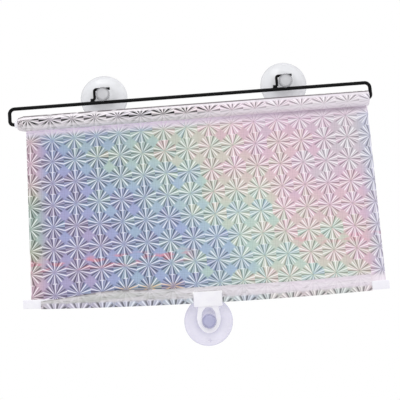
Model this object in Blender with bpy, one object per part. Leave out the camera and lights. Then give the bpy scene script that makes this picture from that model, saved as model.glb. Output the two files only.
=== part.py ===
"""Car window curtain: a spring roller sunshade for a side window, hung from suction cups.

Metres, +Z up, as it hangs. The window glass is the plane y = 0 and the inside of the car is at -Y.
The origin lies on the glass, midway along the bracket, level with the necks of the two upper cups.
"""

import math

import bmesh
import bpy

# Clearance between pieces that touch each other on the real product
CLEAR = 0.0003

# Wire bracket
FRAME_WIDTH = 0.400
WIRE_D = 0.0035
CORNER_BEND = 0.0055
TIP_BEND = 0.0040
TIP_REACH = 0.0140
ROD_TO_ROLLER = 0.0175

# Hooks welded on the rod
HOOK_D = 0.0030
HOOK_BEND = 0.0024
HOOK_ARM = 0.0172
HOOK_FOOT = 0.0045
HOOK_PITCH = 0.201
HOOK_OFFSET = -0.0045
NECK_FROM_LEG = 0.0093
NECK_PLAY = 0.0012

# Suction cups
WIRE_REACH = 0.0150
CUP_D = 0.0520
CUP_LIP = 0.0018
CUP_EDGE = 0.0009
CUP_HOLLOW = 0.0060
SHOULDER_D = 0.0150
SHOULDER_FALL = 0.0008
NECK_D = 0.0105
HEAD_D = 0.0156
HEAD_DEPTH = 0.0053
HEAD_SIDE = 0.0030
SIDE_PLAY = 0.0005

# Roller and the film wound on it
TUBE_D = 0.0114
TUBE_WALL = 0.0005
ROLL_D = 0.0170
FILM_WOUND = 0.00012
TURNS = 8
TAPE_T = 0.0002
TAPE_LENGTH = 0.300
TAPE_ARC = math.radians(60)
FILM_WIDTH = 0.378
TELESCOPE = 0.0065

# End plugs
HUB_GAP = 0.0036
HUB_LENGTH = 0.0025
HUB_D = 0.0075
RING_HUB_D = 0.0098
FLANGE_D = 0.0120
FLANGE_T = 0.0014
SPIGOT_LENGTH = 0.0120

# Spring and what holds it
SPINDLE_HEAD_D = 0.0070
SPINDLE_D = 0.0040
SPINDLE_PROUD = 0.0005
SPINDLE_HEAD_LENGTH = 0.0120
SPRING_WIRE = 0.0009
SPRING_D = 0.0076
SPRING_TURNS = 14
SPRING_PITCH = 0.0038
GRIP_TURNS = 2
GRIP_PITCH = 0.0013
SPRING_LEG = 0.0025
ANCHOR_LENGTH = 0.0080
CLIP_D = 0.0072
CLIP_T = 0.0006
CLIP_MOUTH = math.radians(60)
GROOVE_DEPTH = 0.0005
SPINDLE_TAIL = 0.0015

# Hanging film
PANEL_T = 0.0003
PANEL_START = 0.0030
FILM_OFFSET = 0.0045
FILM_SKEW = 0.0172

# Bottom strip, the hem round it and the pull tab
STRIP_DROP = 0.2038
STRIP_LENGTH = 0.3886
STRIP_HEIGHT = 0.0094
STRIP_T = 0.0026
STRIP_EDGE = 0.0012
STRIP_BOW = 0.0039
STRIP_TILT = math.radians(1.55)
HEM_LENGTH = 0.3510
HEM_T = 0.0003
FLAP_TOP = 0.0120
FLAP_LEFT_TOP = 0.0030
FLAP_SLANT = 0.070
TAB_WIDTH = 0.0300
TAB_TOP_WALL = 0.0015
TAB_BOTTOM_WALL = 0.0040
TAB_SIDE_WALL = 0.0015
TAB_PLAY = 0.0030
TONGUE_T = 0.0024
TONGUE_WIDTH = 0.0250
TONGUE_NECK = 0.0218
TONGUE_BORDER = 0.0070
HOLE_WIDTH = 0.0152
HOLE_HEIGHT = 0.0203
HOLE_DROP = 0.0108
RIM_WIDTH = 0.0014
RIM_PROUD = 0.0005

# Roundness
WIRE_FACETS = 4
SPRING_FACETS = 1
BEND_STEPS = 5
ROUND = 28
TURN_STEPS = 24
SPRING_STEPS = 10
STATIONS = 16

# Worked out from the sizes above
HOOK_ARM_Z = NECK_D / 2 + CLEAR + HOOK_D / 2
ROD_Z = -(NECK_D / 2 + NECK_PLAY + WIRE_D / 2)
HOOK_FOOT_Z = ROD_Z + WIRE_D / 2 + CLEAR + HOOK_D / 2
HOOK_XS = {"left": HOOK_OFFSET - HOOK_PITCH / 2, "right": HOOK_OFFSET + HOOK_PITCH / 2}
ROLLER_Z = ROD_Z - ROD_TO_ROLLER
ARM_X = FRAME_WIDTH / 2 - WIRE_D / 2
HUB_X = ARM_X - WIRE_D / 2 - HUB_GAP
FLANGE_X = HUB_X - HUB_LENGTH
TUBE_X = FLANGE_X - FLANGE_T - CLEAR
SPIGOT_X = TUBE_X - SPIGOT_LENGTH
WIRE_BORE_D = WIRE_D + 2 * CLEAR
SPINDLE_BORE_D = SPINDLE_HEAD_D + 2 * CLEAR
SPIGOT_D = TUBE_D - 2 * TUBE_WALL - 2 * CLEAR
FILM_INNER_R = TUBE_D / 2 + TAPE_T + 2 * CLEAR
TURN_STEP = (ROLL_D / 2 - FILM_INNER_R - FILM_WOUND) / TURNS
HEAD_BACK = WIRE_REACH + WIRE_D / 2 + SIDE_PLAY
SHOULDER = WIRE_REACH - WIRE_D / 2 - SIDE_PLAY
SPINDLE_X = HUB_X + SPINDLE_PROUD
SPINDLE_HEAD_X = SPINDLE_X - SPINDLE_HEAD_LENGTH
SPRING_X = min(SPIGOT_X, SPINDLE_HEAD_X) - CLEAR - SPRING_WIRE / 2
SPRING_END_X = SPRING_X - GRIP_TURNS * GRIP_PITCH - SPRING_TURNS * SPRING_PITCH
ANCHOR_X = SPRING_END_X - SPRING_WIRE / 2 - CLEAR
CLIP_X = ANCHOR_X - ANCHOR_LENGTH - CLEAR
STRIP_Z = ROLLER_Z - STRIP_DROP
PANEL_BACK_Y = STRIP_T / 2 + CLEAR
PANEL_SLOPE = math.atan2(ROLL_D / 2 - PANEL_BACK_Y - PANEL_T, STRIP_DROP - STRIP_HEIGHT / 2)
CUTOUT_TOP = STRIP_HEIGHT / 2 + CLEAR + TAB_TOP_WALL + 2 * CLEAR
CUTOUT_WIDTH = TAB_WIDTH + 2 * TAB_PLAY
TAB_BOTTOM = -(STRIP_HEIGHT / 2 + CLEAR + TAB_BOTTOM_WALL)
HOLE_Z = TAB_BOTTOM - HOLE_DROP
BOTTOM_CUP_Z = HOLE_Z - HOLE_HEIGHT / 2 + NECK_D / 2 + CLEAR


def clear_scene():
    for obj in list(bpy.data.objects):
        bpy.data.objects.remove(obj)


def finish(name, colour, roughness, metallic=0.0, alpha=1.0):
    material = bpy.data.materials.new(name)
    material.use_nodes = True
    shader = material.node_tree.nodes["Principled BSDF"]
    shader.inputs["Base Color"].default_value = (*colour, 1.0)
    shader.inputs["Roughness"].default_value = roughness
    shader.inputs["Metallic"].default_value = metallic
    shader.inputs["Alpha"].default_value = alpha
    material.diffuse_color = (*colour, alpha)
    return material


def empty(name, location, turn=0.0):
    """A carrier for pieces that move together; turn is its angle about Y."""
    carrier = bpy.data.objects.new(name, None)
    carrier.location = location
    carrier.rotation_euler = (0.0, turn, 0.0)
    bpy.context.scene.collection.objects.link(carrier)
    return carrier


def piece(name, data, material=None, location=(0.0, 0.0, 0.0), parent=None):
    obj = bpy.data.objects.new(name, data)
    obj.location = location
    obj.parent = parent
    if material:
        data.materials.append(material)
    bpy.context.scene.collection.objects.link(obj)
    return obj


def cutter(name, data, location=(0.0, 0.0, 0.0), parent=None):
    obj = piece(name, data, None, location, parent)
    obj.hide_render = True
    obj.display_type = "WIRE"
    return obj


def boolean(obj, other, operation):
    modifier = obj.modifiers.new(other.name, "BOOLEAN")
    modifier.operation = operation
    modifier.solver = "EXACT"
    modifier.object = other


def closed_mesh(name, points, faces, sharp=35):
    """A mesh from points and faces, with its faces turned outwards and its round parts smooth."""
    shape = bmesh.new()
    vertices = [shape.verts.new(point) for point in points]
    for face in faces:
        shape.faces.new([vertices[index] for index in face])
    bmesh.ops.recalc_face_normals(shape, faces=shape.faces)
    mesh = bpy.data.meshes.new(name)
    shape.to_mesh(mesh)
    shape.free()
    mesh.shade_smooth()
    mesh.set_sharp_from_angle(angle=math.radians(sharp))
    return mesh


def loft(name, rings, sharp=35):
    """A solid through rings of as many points each, with both ends closed."""
    count = len(rings[0])
    points = [point for ring in rings for point in ring]
    faces = [list(range(count)), list(range(len(points) - count, len(points)))]
    for step in range(len(rings) - 1):
        for side in range(count):
            after = (side + 1) % count
            low, high = step * count, (step + 1) * count
            faces.append([low + side, low + after, high + after, high + side])
    return closed_mesh(name, points, faces, sharp)


def turned(name, profile, place, sharp=35):
    """A turned solid. The profile is (radius, distance along the axis), and ends on the axis or closes."""
    rings = []
    points = []
    for radius, along in profile:
        if radius == 0.0:
            rings.append([len(points)] * ROUND)
            points.append(place(0.0, 0.0, along))
            continue
        rings.append([len(points) + step for step in range(ROUND)])
        for step in range(ROUND):
            angle = 2 * math.pi * step / ROUND
            points.append(place(radius * math.cos(angle), radius * math.sin(angle), along))
    faces = []
    last = len(rings) - 1 if profile[0][0] == 0.0 else len(rings)
    for index in range(last):
        near, far = rings[index], rings[(index + 1) % len(rings)]
        for step in range(ROUND):
            after = (step + 1) % ROUND
            corners = [near[step], near[after], far[after], far[step]]
            faces.append(list(dict.fromkeys(corners)))
    return closed_mesh(name, points, faces, sharp)


def along_x(first, second, along):
    return (along, first, second)


def along_y(first, second, along):
    return (first, -along, second)


def box(name, low, high):
    points = [(x, y, z) for x in (low[0], high[0]) for y in (low[1], high[1]) for z in (low[2], high[2])]
    faces = [[0, 1, 3, 2], [4, 5, 7, 6], [0, 1, 5, 4], [2, 3, 7, 6], [0, 2, 6, 4], [1, 3, 7, 5]]
    return closed_mesh(name, points, faces)


def plate(name, outline, front, back):
    """A flat plate with an outline of (x, z) points, from y = front to y = back."""
    rings = [[(x, y, z) for x, z in outline] for y in (front, back)]
    return loft(name, rings)


def arc(centre, radius, start, end, steps):
    """Points (first, second) on an arc, angles in radians; radius may be a pair for an ellipse."""
    wide, high = radius if isinstance(radius, tuple) else (radius, radius)
    angles = [start + (end - start) * step / steps for step in range(steps + 1)]
    return [(centre[0] + wide * math.cos(a), centre[1] + high * math.sin(a)) for a in angles]


def bent(corners, radii):
    """Points in the XZ plane along straight runs whose corners are rounded to these radii."""
    path = [corners[0]]
    for index in range(1, len(corners) - 1):
        (px, pz), (cx, cz), (nx, nz) = corners[index - 1:index + 2]
        radius = radii[index - 1]
        back = math.hypot(px - cx, pz - cz)
        ahead = math.hypot(nx - cx, nz - cz)
        to_back = ((px - cx) / back, (pz - cz) / back)
        to_ahead = ((nx - cx) / ahead, (nz - cz) / ahead)
        # All bends here are right angles, so the arc's centre lies one radius along both runs
        centre = (cx + radius * (to_back[0] + to_ahead[0]), cz + radius * (to_back[1] + to_ahead[1]))
        for step in range(BEND_STEPS + 1):
            angle = math.pi / 2 * step / BEND_STEPS
            path.append((centre[0] - radius * (to_ahead[0] * math.cos(angle) + to_back[0] * math.sin(angle)),
                         centre[1] - radius * (to_ahead[1] * math.cos(angle) + to_back[1] * math.sin(angle))))
    path.append(corners[-1])
    return path


def wire(name, points, diameter, material, facets, location, parent=None):
    curve = bpy.data.curves.new(name, "CURVE")
    curve.dimensions = "3D"
    curve.bevel_depth = diameter / 2
    curve.bevel_resolution = facets
    curve.use_fill_caps = True
    spline = curve.splines.new("POLY")
    spline.points.add(len(points) - 1)
    for target, point in zip(spline.points, points):
        target.co = (*point, 1.0)
    spline.use_smooth = True
    return piece(name, curve, material, location, parent)


def make_wire_frame(material):
    drop = -ROD_TO_ROLLER
    tip = ARM_X - TIP_REACH
    corners = [(-tip, drop), (-ARM_X, drop), (-ARM_X, 0.0), (ARM_X, 0.0), (ARM_X, drop), (tip, drop)]
    path = bent(corners, [TIP_BEND, CORNER_BEND, CORNER_BEND, TIP_BEND])
    points = [(x, 0.0, z) for x, z in path]
    return wire("wire_frame", points, WIRE_D, material, WIRE_FACETS, (0.0, -WIRE_REACH, ROD_Z))


def make_cup_hook(side, material):
    height = HOOK_ARM_Z - HOOK_FOOT_Z
    corners = [(-HOOK_FOOT, 0.0), (0.0, 0.0), (0.0, height), (HOOK_ARM, height)]
    points = [(x, 0.0, z) for x, z in bent(corners, [HOOK_BEND, HOOK_BEND])]
    place = (HOOK_XS[side], -WIRE_REACH, HOOK_FOOT_Z)
    return wire(f"cup_hook_{side}", points, HOOK_D, material, WIRE_FACETS, place)


def cup_profile():
    """(radius, distance from the glass) from the middle of the head to the middle of the hollow."""
    rim = CUP_D / 2
    shoulder = SHOULDER_D / 2
    head = HEAD_D / 2
    neck = NECK_D / 2
    front = HEAD_BACK + HEAD_DEPTH
    dome = HEAD_DEPTH - HEAD_SIDE
    profile = [(0.0, front)]
    profile += arc((0.0, front - dome), (head, dome), math.radians(68), 0.0, 3)
    profile += [(head, HEAD_BACK), (neck, HEAD_BACK), (neck, SHOULDER)]
    for step in range(6):
        share = step / 5
        radius = shoulder + (rim - shoulder) * share
        profile.append((radius, CUP_EDGE + (SHOULDER - SHOULDER_FALL - CUP_EDGE) * (1 - share) ** 1.5))
    inner = rim - CUP_LIP
    profile += [(rim, 0.0), (inner, 0.0)]
    for step in range(1, 4):
        radius = inner * (1 - step / 4)
        profile.append((radius, CUP_HOLLOW * (1 - (radius / inner) ** 2)))
    profile.append((0.0, CUP_HOLLOW))
    return profile


def make_suction_cup(name, material, location, parent=None):
    return piece(name, turned(name, cup_profile(), along_y), material, location, parent)


def make_roller_tube(material, parent):
    outer = TUBE_D / 2
    inner = outer - TUBE_WALL
    profile = [(inner, -TUBE_X), (outer, -TUBE_X), (outer, TUBE_X), (inner, TUBE_X)]
    return piece("roller_tube", turned("roller_tube", profile, along_x), material, parent=parent)


def make_end_plug(side, bore, hub, material, parent):
    """A plug pressed into the tube's end: hub, flange and spigot round one bore."""
    sign = -1 if side == "left" else 1
    flange_inner = TUBE_X + CLEAR
    profile = [(bore / 2, HUB_X), (hub / 2, HUB_X), (hub / 2, FLANGE_X), (FLANGE_D / 2, FLANGE_X),
               (FLANGE_D / 2, flange_inner), (SPIGOT_D / 2, flange_inner), (SPIGOT_D / 2, SPIGOT_X),
               (bore / 2, SPIGOT_X)]
    name = f"end_plug_{side}"
    mesh = turned(name, [(radius, sign * along) for radius, along in profile], along_x)
    return piece(name, mesh, material, parent=parent)


def make_spring_spindle(material, parent):
    """The pin that the right wire tip holds still: a socket for the tip, a shank and a clip groove."""
    socket = WIRE_BORE_D / 2
    shank = SPINDLE_D / 2
    socket_end = ARM_X - TIP_REACH - CLEAR
    groove_far = CLIP_X - CLIP_T - CLEAR
    profile = [(0.0, socket_end), (socket, socket_end), (socket, SPINDLE_X), (SPINDLE_HEAD_D / 2, SPINDLE_X),
               (SPINDLE_HEAD_D / 2, SPINDLE_HEAD_X), (shank, SPINDLE_HEAD_X), (shank, CLIP_X + CLEAR),
               (shank - GROOVE_DEPTH, CLIP_X + CLEAR), (shank - GROOVE_DEPTH, groove_far), (shank, groove_far),
               (shank, groove_far - SPINDLE_TAIL), (0.0, groove_far - SPINDLE_TAIL)]
    return piece("spring_spindle", turned("spring_spindle", profile, along_x), material, parent=parent)


def make_spindle_clip(material, parent):
    """A flat ring, open at one side, in the spindle's groove."""
    inner = SPINDLE_D / 2 - GROOVE_DEPTH + CLEAR
    rings = []
    for step in range(STATIONS + 1):
        angle = CLIP_MOUTH / 2 + (2 * math.pi - CLIP_MOUTH) * step / STATIONS
        rings.append([(along, radius * math.sin(angle), radius * math.cos(angle))
                      for along, radius in ((CLIP_X, inner), (CLIP_X, CLIP_D / 2),
                                            (CLIP_X - CLIP_T, CLIP_D / 2), (CLIP_X - CLIP_T, inner))])
    return piece("spindle_clip", loft("spindle_clip", rings), material, parent=parent)


def make_spring_anchor(material, parent):
    """A plug fixed in the tube, with a bore for the spindle and a slot for the spring's leg."""
    bore = SPINDLE_D / 2 + CLEAR
    far = ANCHOR_X - ANCHOR_LENGTH
    profile = [(bore, ANCHOR_X), (SPIGOT_D / 2, ANCHOR_X), (SPIGOT_D / 2, far), (bore, far)]
    anchor = piece("spring_anchor", turned("spring_anchor", profile, along_x), material, parent=parent)
    half = SPRING_WIRE / 2 + CLEAR
    low = (ANCHOR_X - SPRING_LEG - CLEAR, SPRING_D / 2 - half, -half)
    high = (ANCHOR_X + SPRING_WIRE, TUBE_D, half)
    slot = cutter("anchor_slot", box("anchor_slot", low, high), parent=parent)
    boolean(anchor, slot, "DIFFERENCE")
    return anchor


def make_torsion_spring(material, parent):
    """Turns that grip the spindle, the open turns, and a straight leg in the anchor's slot."""
    grip = SPINDLE_D / 2 + CLEAR + SPRING_WIRE / 2
    open_radius = SPRING_D / 2
    turns = GRIP_TURNS + SPRING_TURNS
    steps = turns * SPRING_STEPS
    points = []
    for step in range(steps + 1):
        turn = step / SPRING_STEPS
        spread = min(max(turn - GRIP_TURNS, 0.0), 1.0)
        radius = grip + (open_radius - grip) * spread
        travel = min(turn, GRIP_TURNS) * GRIP_PITCH + max(turn - GRIP_TURNS, 0.0) * SPRING_PITCH
        angle = 2 * math.pi * (turn - turns)
        points.append((SPRING_X - travel, radius * math.cos(angle), radius * math.sin(angle)))
    points.append((ANCHOR_X - SPRING_LEG, open_radius, 0.0))
    return wire("torsion_spring", points, SPRING_WIRE, material, SPRING_FACETS, (0.0, 0.0, 0.0), parent)


def make_film_tape(material, parent):
    inner = TUBE_D / 2 + CLEAR
    outer = inner + TAPE_T
    start, end = math.pi / 2 - TAPE_ARC / 2, math.pi / 2 + TAPE_ARC / 2
    section = arc((0.0, 0.0), outer, start, end, BEND_STEPS) + arc((0.0, 0.0), inner, end, start, BEND_STEPS)
    rings = [[(x, y, z) for y, z in section] for x in (-TAPE_LENGTH / 2, TAPE_LENGTH / 2)]
    return piece("film_tape", loft("film_tape", rings), material, parent=parent)


def film_shift(drop):
    """How far the film's middle lies off the bracket's, this far below the roller's axis."""
    return FILM_OFFSET + FILM_SKEW * (STRIP_DROP / 2 - drop)


def make_film_roll(material, parent):
    """The wound film: one spiral sheet whose turns creep sideways and whose end runs down at the back."""
    rings = []
    steps = TURNS * TURN_STEPS
    for step in range(steps + 1):
        share = step / steps
        angle = 2 * math.pi * (steps - step) / TURN_STEPS
        inner = FILM_INNER_R + TURN_STEP * TURNS * share
        outer = inner + FILM_WOUND
        shift = film_shift(0.0) - TELESCOPE * (1 - share)
        low, high = shift - FILM_WIDTH / 2, shift + FILM_WIDTH / 2
        rings.append([(x, radius * math.cos(angle), radius * math.sin(angle))
                      for x, radius in ((low, inner), (high, inner), (high, outer), (low, outer))])
    tail = PANEL_START - CLEAR
    rings.append([(x, y, z - tail) for x, y, z in rings[-1]])
    return piece("film_roll", loft("film_roll", rings), material, parent=parent)


def strip_point(along, height):
    """World x and z of a point on the bowed, tilted strip, at this height over its middle line."""
    z = height + STRIP_BOW * (2 * along / STRIP_LENGTH) ** 2
    x = along * math.cos(STRIP_TILT) + z * math.sin(STRIP_TILT)
    return x, STRIP_Z - along * math.sin(STRIP_TILT) + z * math.cos(STRIP_TILT)


def panel_outline():
    """(x, z) from the roller's axis: straight top and sides, and a lower edge that follows the strip."""
    half = FILM_WIDTH / 2
    top_shift = film_shift(PANEL_START)
    outline = [(top_shift - half, -PANEL_START), (top_shift + half, -PANEL_START)]
    lower = film_shift(STRIP_DROP)
    base = STRIP_HEIGHT / 2 + CLEAR
    notch = CUTOUT_WIDTH / 2
    right = [lower + half - (lower + half - notch) * step / STATIONS for step in range(STATIONS + 1)]
    left = [-notch + (lower - half + notch) * step / STATIONS for step in range(STATIONS + 1)]
    edge = [(x, base) for x in right] + [(notch, CUTOUT_TOP), (-notch, CUTOUT_TOP)] + [(x, base) for x in left]
    for along, height in edge:
        x, z = strip_point(along, height)
        outline.append((x, (z - ROLLER_Z) / math.cos(PANEL_SLOPE)))
    return outline


def make_film_panel(material):
    """The hanging film, sloped from the back of the roll to the back of the strip."""
    sheet = plate("film_panel", panel_outline(), -PANEL_T / 2, PANEL_T / 2)
    place = (0.0, -WIRE_REACH + ROLL_D / 2 - PANEL_T / 2, ROLLER_Z)
    panel = piece("film_panel", sheet, material, place)
    panel.rotation_euler = (-PANEL_SLOPE, 0.0, 0.0)
    return panel


def rounded_section(thickness, height, radius):
    """(y, z) points of a bar's section with round corners."""
    half_t, half_h = thickness / 2 - radius, height / 2 - radius
    section = []
    for quarter, (y, z) in enumerate(((half_t, half_h), (-half_t, half_h), (-half_t, -half_h), (half_t, -half_h))):
        start = quarter * math.pi / 2
        section += arc((y, z), radius, start, start + math.pi / 2, 2)
    return section


def bowed(along):
    return STRIP_BOW * (2 * along / STRIP_LENGTH) ** 2


def make_bottom_strip(material, parent):
    section = rounded_section(STRIP_T, STRIP_HEIGHT, STRIP_EDGE)
    rings = []
    for step in range(STATIONS + 1):
        along = STRIP_LENGTH * (step / STATIONS - 0.5)
        rings.append([(along, y, z + bowed(along)) for y, z in section])
    return piece("bottom_rail", loft("bottom_rail", rings), material, parent=parent)


def flap_top(along):
    """Height of the hem's front edge over the strip's middle line; the fold runs out at the left."""
    share = min(max((along + HEM_LENGTH / 2) / FLAP_SLANT, 0.0), 1.0)
    return FLAP_LEFT_TOP + (FLAP_TOP - FLAP_LEFT_TOP) * share


def hem_path(top):
    """(y, z) along the middle of the folded film: up the back of the strip's foot, under it, up its front."""
    leg = STRIP_T / 2 + CLEAR + HEM_T / 2
    foot = -(STRIP_HEIGHT / 2 - STRIP_T / 2)
    lean_start = STRIP_HEIGHT / 2 + 2 * CLEAR
    lean_end = lean_start + 0.0033
    front = PANEL_BACK_Y - CLEAR - HEM_T / 2

    def front_y(z):
        share = min(max((z - lean_start) / (lean_end - lean_start), 0.0), 1.0)
        return -leg + (leg + front) * share

    path = [(leg, STRIP_HEIGHT / 2 - CLEAR)]
    path += arc((0.0, foot), leg, 0.0, -math.pi, 5)
    steps = 6
    for step in range(1, steps + 1):
        z = foot + (top - foot) * step / steps
        path.append((front_y(z), z))
    return path


def ribbon(path, thickness):
    """The outline of a sheet of this thickness along a path."""
    one, other = [], []
    for index, (y, z) in enumerate(path):
        before = path[max(index - 1, 0)]
        after = path[min(index + 1, len(path) - 1)]
        dy, dz = after[0] - before[0], after[1] - before[1]
        length = math.hypot(dy, dz)
        shift_y, shift_z = -dz / length * thickness / 2, dy / length * thickness / 2
        one.append((y + shift_y, z + shift_z))
        other.append((y - shift_y, z - shift_z))
    return one + other[::-1]


def make_film_hem(material, parent):
    """The film's end, folded round the strip, with a cut-out for the pull tab."""
    rings = []
    for step in range(STATIONS + 1):
        along = HEM_LENGTH * (step / STATIONS - 0.5)
        section = ribbon(hem_path(flap_top(along)), HEM_T)
        rings.append([(along, y, z + bowed(along)) for y, z in section])
    hem = piece("film_hem", loft("film_hem", rings), material, parent=parent)
    half = CUTOUT_WIDTH / 2
    low = (-half, -2 * STRIP_T, -STRIP_HEIGHT)
    high = (half, 2 * STRIP_T, CUTOUT_TOP)
    boolean(hem, cutter("hem_cutout", box("hem_cutout", low, high), parent=parent), "DIFFERENCE")
    return hem


def tongue_outline():
    """(x, z) of the pull tab's tongue: a waist under the block, then a round end about the hole."""
    radius = TONGUE_WIDTH / 2
    end = (radius, HOLE_HEIGHT / 2 + TONGUE_BORDER)
    waist = TONGUE_NECK / 2
    top = TAB_BOTTOM + TAB_BOTTOM_WALL / 2
    shoulder = TAB_BOTTOM - (HOLE_DROP - HOLE_HEIGHT / 2)
    lower = arc((0.0, HOLE_Z), end, 0.0, -math.pi, 18)
    right = [(waist, top), (waist, shoulder), ((waist + 2 * radius) / 3, (shoulder + HOLE_Z) / 2)]
    left = [(-x, z) for x, z in reversed(right)]
    return right + lower + left


def make_pull_tab(material, parent):
    """One moulding: a block that the strip runs through, and a tongue with the cup's oval hole."""
    thick = STRIP_T / 2 + CLEAR + TAB_SIDE_WALL
    top = STRIP_HEIGHT / 2 + CLEAR + TAB_TOP_WALL
    block = box("pull_tab", (-TAB_WIDTH / 2, -thick, TAB_BOTTOM), (TAB_WIDTH / 2, thick, top))
    tab = piece("pull_tab", block, material, parent=parent)
    bevel = tab.modifiers.new("rounded_edges", "BEVEL")
    bevel.width = TAB_SIDE_WALL / 2
    bevel.segments = 2
    half = TONGUE_T / 2
    tongue = cutter("tab_tongue", plate("tab_tongue", tongue_outline(), -half, half), parent=parent)
    boolean(tab, tongue, "UNION")
    rim_size = (HOLE_WIDTH / 2 + RIM_WIDTH, HOLE_HEIGHT / 2 + RIM_WIDTH / 2)
    rim_line = arc((0.0, HOLE_Z), rim_size, 0.0, 2 * math.pi, ROUND)[:-1]
    rim = cutter("tab_rim", plate("tab_rim", rim_line, -half - RIM_PROUD, 0.0), parent=parent)
    boolean(tab, rim, "UNION")
    slot_size = (STRIP_T + 2 * CLEAR, STRIP_HEIGHT + 2 * CLEAR)
    slot_section = rounded_section(*slot_size, STRIP_EDGE)
    rings = [[(x, y, z) for y, z in slot_section] for x in (-TAB_WIDTH, TAB_WIDTH)]
    boolean(tab, cutter("tab_slot", loft("tab_slot", rings), parent=parent), "DIFFERENCE")
    hole_line = arc((0.0, HOLE_Z), (HOLE_WIDTH / 2, HOLE_HEIGHT / 2), 0.0, 2 * math.pi, ROUND)[:-1]
    hole = cutter("tab_hole", plate("tab_hole", hole_line, -2 * TONGUE_T, 2 * TONGUE_T), parent=parent)
    boolean(tab, hole, "DIFFERENCE")
    return tab


def main():
    clear_scene()
    black = finish("black_paint", (0.012, 0.012, 0.014), 0.28)
    clear_vinyl = finish("clear_vinyl", (0.80, 0.81, 0.85), 0.25, alpha=0.7)
    film = finish("laser_film", (0.72, 0.72, 0.78), 0.25, 0.35)
    white = finish("white_plastic", (0.88, 0.87, 0.90), 0.40)
    steel = finish("spring_steel", (0.55, 0.56, 0.58), 0.30, 1.0)
    tube_metal = finish("tube_metal", (0.62, 0.63, 0.65), 0.40, 1.0)
    acetal = finish("spindle_plastic", (0.80, 0.80, 0.78), 0.45)
    tape = finish("clear_tape", (0.85, 0.82, 0.70), 0.30, alpha=0.6)

    make_wire_frame(black)
    for side in ("left", "right"):
        make_cup_hook(side, black)
        make_suction_cup(f"suction_cup_{side}", clear_vinyl, (HOOK_XS[side] + NECK_FROM_LEG, 0.0, 0.0))

    roller_axis = empty("roller_axis", (0.0, -WIRE_REACH, ROLLER_Z))
    make_roller_tube(tube_metal, roller_axis)
    make_end_plug("left", WIRE_BORE_D, HUB_D, white, roller_axis)
    make_end_plug("right", SPINDLE_BORE_D, RING_HUB_D, white, roller_axis)
    make_spring_spindle(acetal, roller_axis)
    make_spindle_clip(steel, roller_axis)
    make_spring_anchor(white, roller_axis)
    make_torsion_spring(steel, roller_axis)
    make_film_tape(tape, roller_axis)
    make_film_roll(film, roller_axis)

    make_film_panel(film)
    strip_carrier = empty("strip_carrier", (0.0, -WIRE_REACH, STRIP_Z), STRIP_TILT)
    make_bottom_strip(white, strip_carrier)
    make_film_hem(film, strip_carrier)
    make_pull_tab(white, strip_carrier)
    make_suction_cup("suction_cup_bottom", clear_vinyl, (0.0, WIRE_REACH, BOTTOM_CUP_Z), strip_carrier)


main()
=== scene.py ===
# %% [markdown]
# # A car window curtain
#
# A roller shade for a car's side window: a black wire bracket that hangs from two suction cups, a spring
# roller, a sheet of silvery laser film with a starburst pattern, a white strip in the film's lower hem,
# and a white pull tab that a third cup holds to the glass. The solid model comes first, and every visible
# piece is then made over it with its own finish.

# %% Load the solid model
import math

import bmesh
import bpy
from mathutils import Matrix, Vector


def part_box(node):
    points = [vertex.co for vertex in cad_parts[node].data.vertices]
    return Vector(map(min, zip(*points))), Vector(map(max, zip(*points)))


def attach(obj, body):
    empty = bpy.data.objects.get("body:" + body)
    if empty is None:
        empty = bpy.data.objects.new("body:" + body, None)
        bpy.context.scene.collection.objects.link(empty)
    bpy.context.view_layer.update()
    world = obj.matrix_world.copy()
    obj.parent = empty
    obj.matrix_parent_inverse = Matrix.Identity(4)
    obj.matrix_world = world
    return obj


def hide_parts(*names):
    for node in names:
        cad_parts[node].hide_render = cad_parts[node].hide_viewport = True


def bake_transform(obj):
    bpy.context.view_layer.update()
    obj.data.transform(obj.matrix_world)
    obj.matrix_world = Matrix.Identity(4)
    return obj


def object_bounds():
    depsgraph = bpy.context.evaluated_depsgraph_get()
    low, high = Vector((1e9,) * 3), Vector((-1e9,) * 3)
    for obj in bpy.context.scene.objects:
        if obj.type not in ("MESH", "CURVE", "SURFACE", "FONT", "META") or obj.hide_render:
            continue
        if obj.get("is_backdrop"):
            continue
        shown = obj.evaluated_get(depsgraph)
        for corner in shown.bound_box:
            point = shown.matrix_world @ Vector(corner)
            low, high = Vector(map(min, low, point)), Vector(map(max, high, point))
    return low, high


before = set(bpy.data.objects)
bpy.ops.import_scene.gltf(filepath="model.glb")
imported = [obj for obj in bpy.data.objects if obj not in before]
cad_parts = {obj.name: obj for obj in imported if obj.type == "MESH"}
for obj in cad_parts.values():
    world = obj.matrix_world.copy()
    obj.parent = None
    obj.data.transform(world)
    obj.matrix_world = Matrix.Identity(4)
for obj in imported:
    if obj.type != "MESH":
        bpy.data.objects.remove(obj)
cad_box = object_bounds()
print("solid model from", [round(v, 4) for v in cad_box[0]], "to", [round(v, 4) for v in cad_box[1]])

# %% [markdown]
# ## Where things are
#
# A piece that sits on a solid takes its place from it. The bracket's box gives the rod's height and the
# plane of the wire, the tube's box gives the roller's axis, and each cup's box gives its centre. The
# other sizes are the solid model's own, in metres.

# %% Places and sizes
CLEAR = 0.0003
WIRE_D = 0.0035
WIRE_SEEN = 0.0039
HOOK_D = 0.0030

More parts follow.
